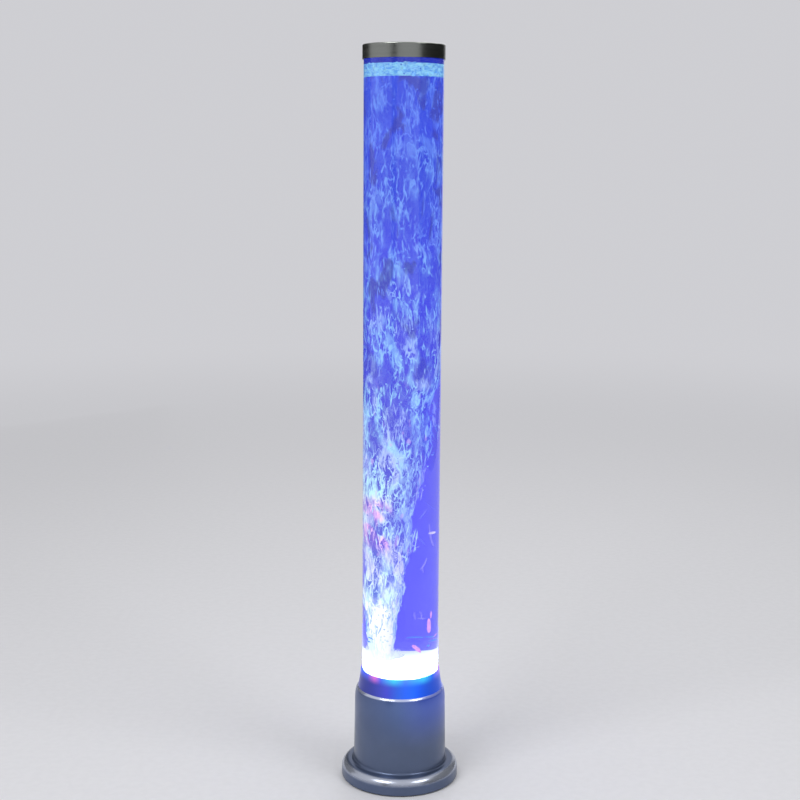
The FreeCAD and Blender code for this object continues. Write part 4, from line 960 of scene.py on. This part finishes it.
def foam_finish():
    """Froth lit from below: pale cyan clots and threads, with a few dark holes between its bubbles."""
    made = Finish("lit_froth", (0.0, 0.0, 0.0), Roughness=0.5, Specular_IOR_Level=0.0)
    clots = made.spread(made.noise(150, 3, (1, 1, 1.8), 0.6), 0.38, 0.62)
    tone = made.mix(clots, (0.12, 0.42, 0.95), (0.34, 0.82, 1.05))
    threads = made.lines(230, 0.05, 2, (1, 1, 1.6), 0.5)
    tone = made.mix(made.math("MULTIPLY", threads, 0.6), tone, (0.60, 1.05, 1.1))
    holes = made.spread(made.noise(120, 1), 0.70, 0.76)
    tone = made.mix(holes, tone, (0.02, 0.10, 0.75))
    geometry = made.node("ShaderNodeNewGeometry")
    each = made.spread(geometry.outputs["Random Per Island"], 0.0, 1.0, 0.75, 1.1, "LINEAR")
    made.lit(made.mix(1.0, tone, each, "MULTIPLY"), 1.0)
    return made


FOAM_COUNT = 1500


def make_foam():
    """The layer of froth that floats on the water, and above it a thin sheet inside the wet wall with the
    water's blue light painted on it as a glow.
    """
    draw = random.Random(11)
    finish = foam_finish()
    wall = WATER_RADIUS - 0.3 * MM
    swarm = Swarm()
    for _ in range(FOAM_COUNT):
        radius = draw.uniform(0.8, 1.9) ** 2 * MM
        out = (wall - radius) * math.sqrt(draw.uniform(0.55, 1.0))
        angle = draw.uniform(0, math.tau)
        heap = 4.5 * noise.noise(Vector((math.cos(angle) * 1.6, math.sin(angle) * 1.6, 5.0))) * MM
        ceiling = FOAM_TOP + heap - radius - draw.uniform(0, 0.8) * MM
        z = draw.uniform(FOAM_FOOT + radius * 0.5, ceiling)
        round_bubble(draw, swarm, out * math.cos(angle), out * math.sin(angle), z, radius, 0.85)
    ride_in_water(swarm.build("foam_bubbles"), finish)
    rim = wall - 1.5 * MM
    crown = FOAM_TOP - 2 * MM
    raft = lathe("foam_raft", [
        (0, FOAM_FOOT), (wall - 3 * MM, FOAM_FOOT), (rim, FOAM_FOOT + 1.5 * MM),
        (rim, FOAM_TOP - 4 * MM), (wall - 4 * MM, crown), (0, crown)])
    ride_in_water(raft, finish)
    # A sheet of painted light: the blue glow on the wet wall above the froth.
    film_out, film_in = wall - 3.6 * MM, wall - 4.2 * MM
    low, high = FOAM_TOP - 5 * MM, CAP_FOOT + 0.8 * MM
    film = lathe("wet_film", [(film_in, low), (film_out, low), (film_out, high), (film_in, high)])
    ride_in_water(film, glowing("wet_wall_glow", (0.0, 0.02, 0.48)))


# ---------------------------------------------------------------- studio
BACKDROP = (0.62, 0.62, 0.65)
# The floor's radius, and the distances from the lamp where its surface starts and ends its fade.
FLOOR_RADIUS = 14.0
FLOOR_CLEAR_FROM = 0.9
FLOOR_CLEAR_TO = 4.5
WORLD_LIGHT = 0.55


def make_world():
    """Plain soft light from all round, with a pale backdrop for the camera, metal and glass."""
    world = bpy.data.worlds.new("studio")
    bpy.context.scene.world = world
    world.use_nodes = True
    tree = world.node_tree
    seen = tree.nodes.new("ShaderNodeBackground")
    seen.inputs["Color"].default_value = (*BACKDROP, 1)
    light = tree.nodes["Background"]
    light.inputs["Color"].default_value = (1, 1, 1, 1)
    light.inputs["Strength"].default_value = WORLD_LIGHT
    path = tree.nodes.new("ShaderNodeLightPath")
    shown = path.outputs["Is Camera Ray"]
    for kind in ("Is Glossy Ray", "Is Transmission Ray"):
        either = tree.nodes.new("ShaderNodeMath")
        either.operation = "MAXIMUM"
        tree.links.new(shown, either.inputs[0])
        tree.links.new(path.outputs[kind], either.inputs[1])
        shown = either.outputs[0]
    choose = tree.nodes.new("ShaderNodeMixShader")
    tree.links.new(shown, choose.inputs["Fac"])
    tree.links.new(light.outputs[0], choose.inputs[1])
    tree.links.new(seen.outputs[0], choose.inputs[2])
    tree.links.new(choose.outputs[0], tree.nodes["World Output"].inputs["Surface"])


def make_floor():
    """A wide round floor that fades into the backdrop away from the lamp."""
    segments = 96
    points = []
    for step in range(segments):
        angle = math.tau * step / segments
        points.append((FLOOR_RADIUS * math.cos(angle), FLOOR_RADIUS * math.sin(angle), 0))
    floor = mesh_object("studio_floor", points, [tuple(range(segments))], smooth=False)
    made = Finish("pale_floor", Roughness=0.65)
    grain = made.spread(made.noise(90, 3), 0.3, 0.7)
    made.put(made.mix(grain, (0.74, 0.74, 0.77), (0.76, 0.76, 0.79)), "Base Color")
    backdrop = made.node("ShaderNodeEmission")
    backdrop.inputs["Color"].default_value = (*BACKDROP, 1)
    away = made.node("ShaderNodeVectorMath", operation="LENGTH")
    made.tree.links.new(made.place(), away.inputs[0])
    fade = made.spread(away.outputs["Value"], FLOOR_CLEAR_FROM, FLOOR_CLEAR_TO)
    choose = made.node("ShaderNodeMixShader")
    made.tree.links.new(fade, choose.inputs["Fac"])
    made.tree.links.new(made.shader.outputs[0], choose.inputs[1])
    made.tree.links.new(backdrop.outputs[0], choose.inputs[2])
    made.tree.links.new(choose.outputs[0], made.output.inputs["Surface"])
    made.material.cycles.emission_sampling = "NONE"
    floor.data.materials.append(made.material)


def make_lamp(name, place, aim, size, power):
    """A white soft box at a place, facing a point, of a width and a height."""
    light = bpy.data.lights.new(name, "AREA")
    light.shape = "RECTANGLE"
    light.size, light.size_y = size
    light.energy = power
    made = bpy.data.objects.new(name, light)
    made.location = place
    made.rotation_euler = (Vector(aim) - Vector(place)).to_track_quat("-Z", "Y").to_euler()
    made.visible_camera = False
    bpy.context.scene.collection.objects.link(made)


def make_lamps():
    """Three soft boxes, high enough that an upright wall never mirrors them to the camera."""
    aim = (0, 0, 0.4)
    make_lamp("key_box", (-1.3, -1.5, 2.4), aim, (1.3, 0.9), 26)
    make_lamp("fill_box", (1.6, -1.2, 2.3), aim, (1.2, 0.9), 16)
    make_lamp("back_box", (0.3, 1.8, 2.4), aim, (1.4, 0.8), 10)


CARD_DISTANCE = 3.0
CARD_LOW = 0.02
CARD_HIGH = 2.1
# The headings in degrees between which each card stands, from the front to the right.
CARD_SPANS = ((-165, -108), (-34, -20), (46, 150))


def make_cards():
    """Dark cards that stand round the set. Only glossy reflections see them, so metal shows upright
    bands."""
    made = Finish("dark_card", (0.02, 0.02, 0.02), Roughness=0.9)
    for number, (first, last) in enumerate(CARD_SPANS):
        points = []
        for turn in (first, last):
            angle = math.radians(turn - 90)
            x, y = CARD_DISTANCE * math.cos(angle), CARD_DISTANCE * math.sin(angle)
            points += [(x, y, CARD_LOW), (x, y, CARD_HIGH)]
        card = mesh_object("card_%d" % number, points, [(0, 2, 3, 1)], smooth=False)
        card.data.materials.append(made.material)
        card.visible_camera = False
        card.visible_diffuse = False
        card.visible_transmission = False
        card.visible_volume_scatter = False
        card.visible_shadow = False


CAMERA_PLACE = (-0.0023, -1.817, 0.815)
CAMERA_PITCH = 80.38
CAMERA_ROLL = 0.35
CAMERA_LENS = 64.6


def make_camera():
    """The photograph's view: a long lens at about the height of the tube's upper end, looking a little
    down."""
    data = bpy.data.cameras.new("photo_camera")
    data.lens = CAMERA_LENS
    camera = bpy.data.objects.new("photo_camera", data)
    camera.location = CAMERA_PLACE
    level = Euler((math.radians(CAMERA_PITCH), 0, 0)).to_matrix()
    roll = Euler((0, 0, math.radians(CAMERA_ROLL))).to_matrix()
    camera.rotation_euler = (level @ roll).to_euler()
    bpy.context.scene.collection.objects.link(camera)
    bpy.context.scene.camera = camera


# ---------------------------------------------------------------- the scene
bpy.context.scene.view_settings.view_transform = "Standard"
make_camera()
make_world()
make_floor()
make_lamps()
make_cards()
dress_cad()
make_water()
make_air_core()
make_strands()
make_stray_bubbles()
make_trails()
make_foam()
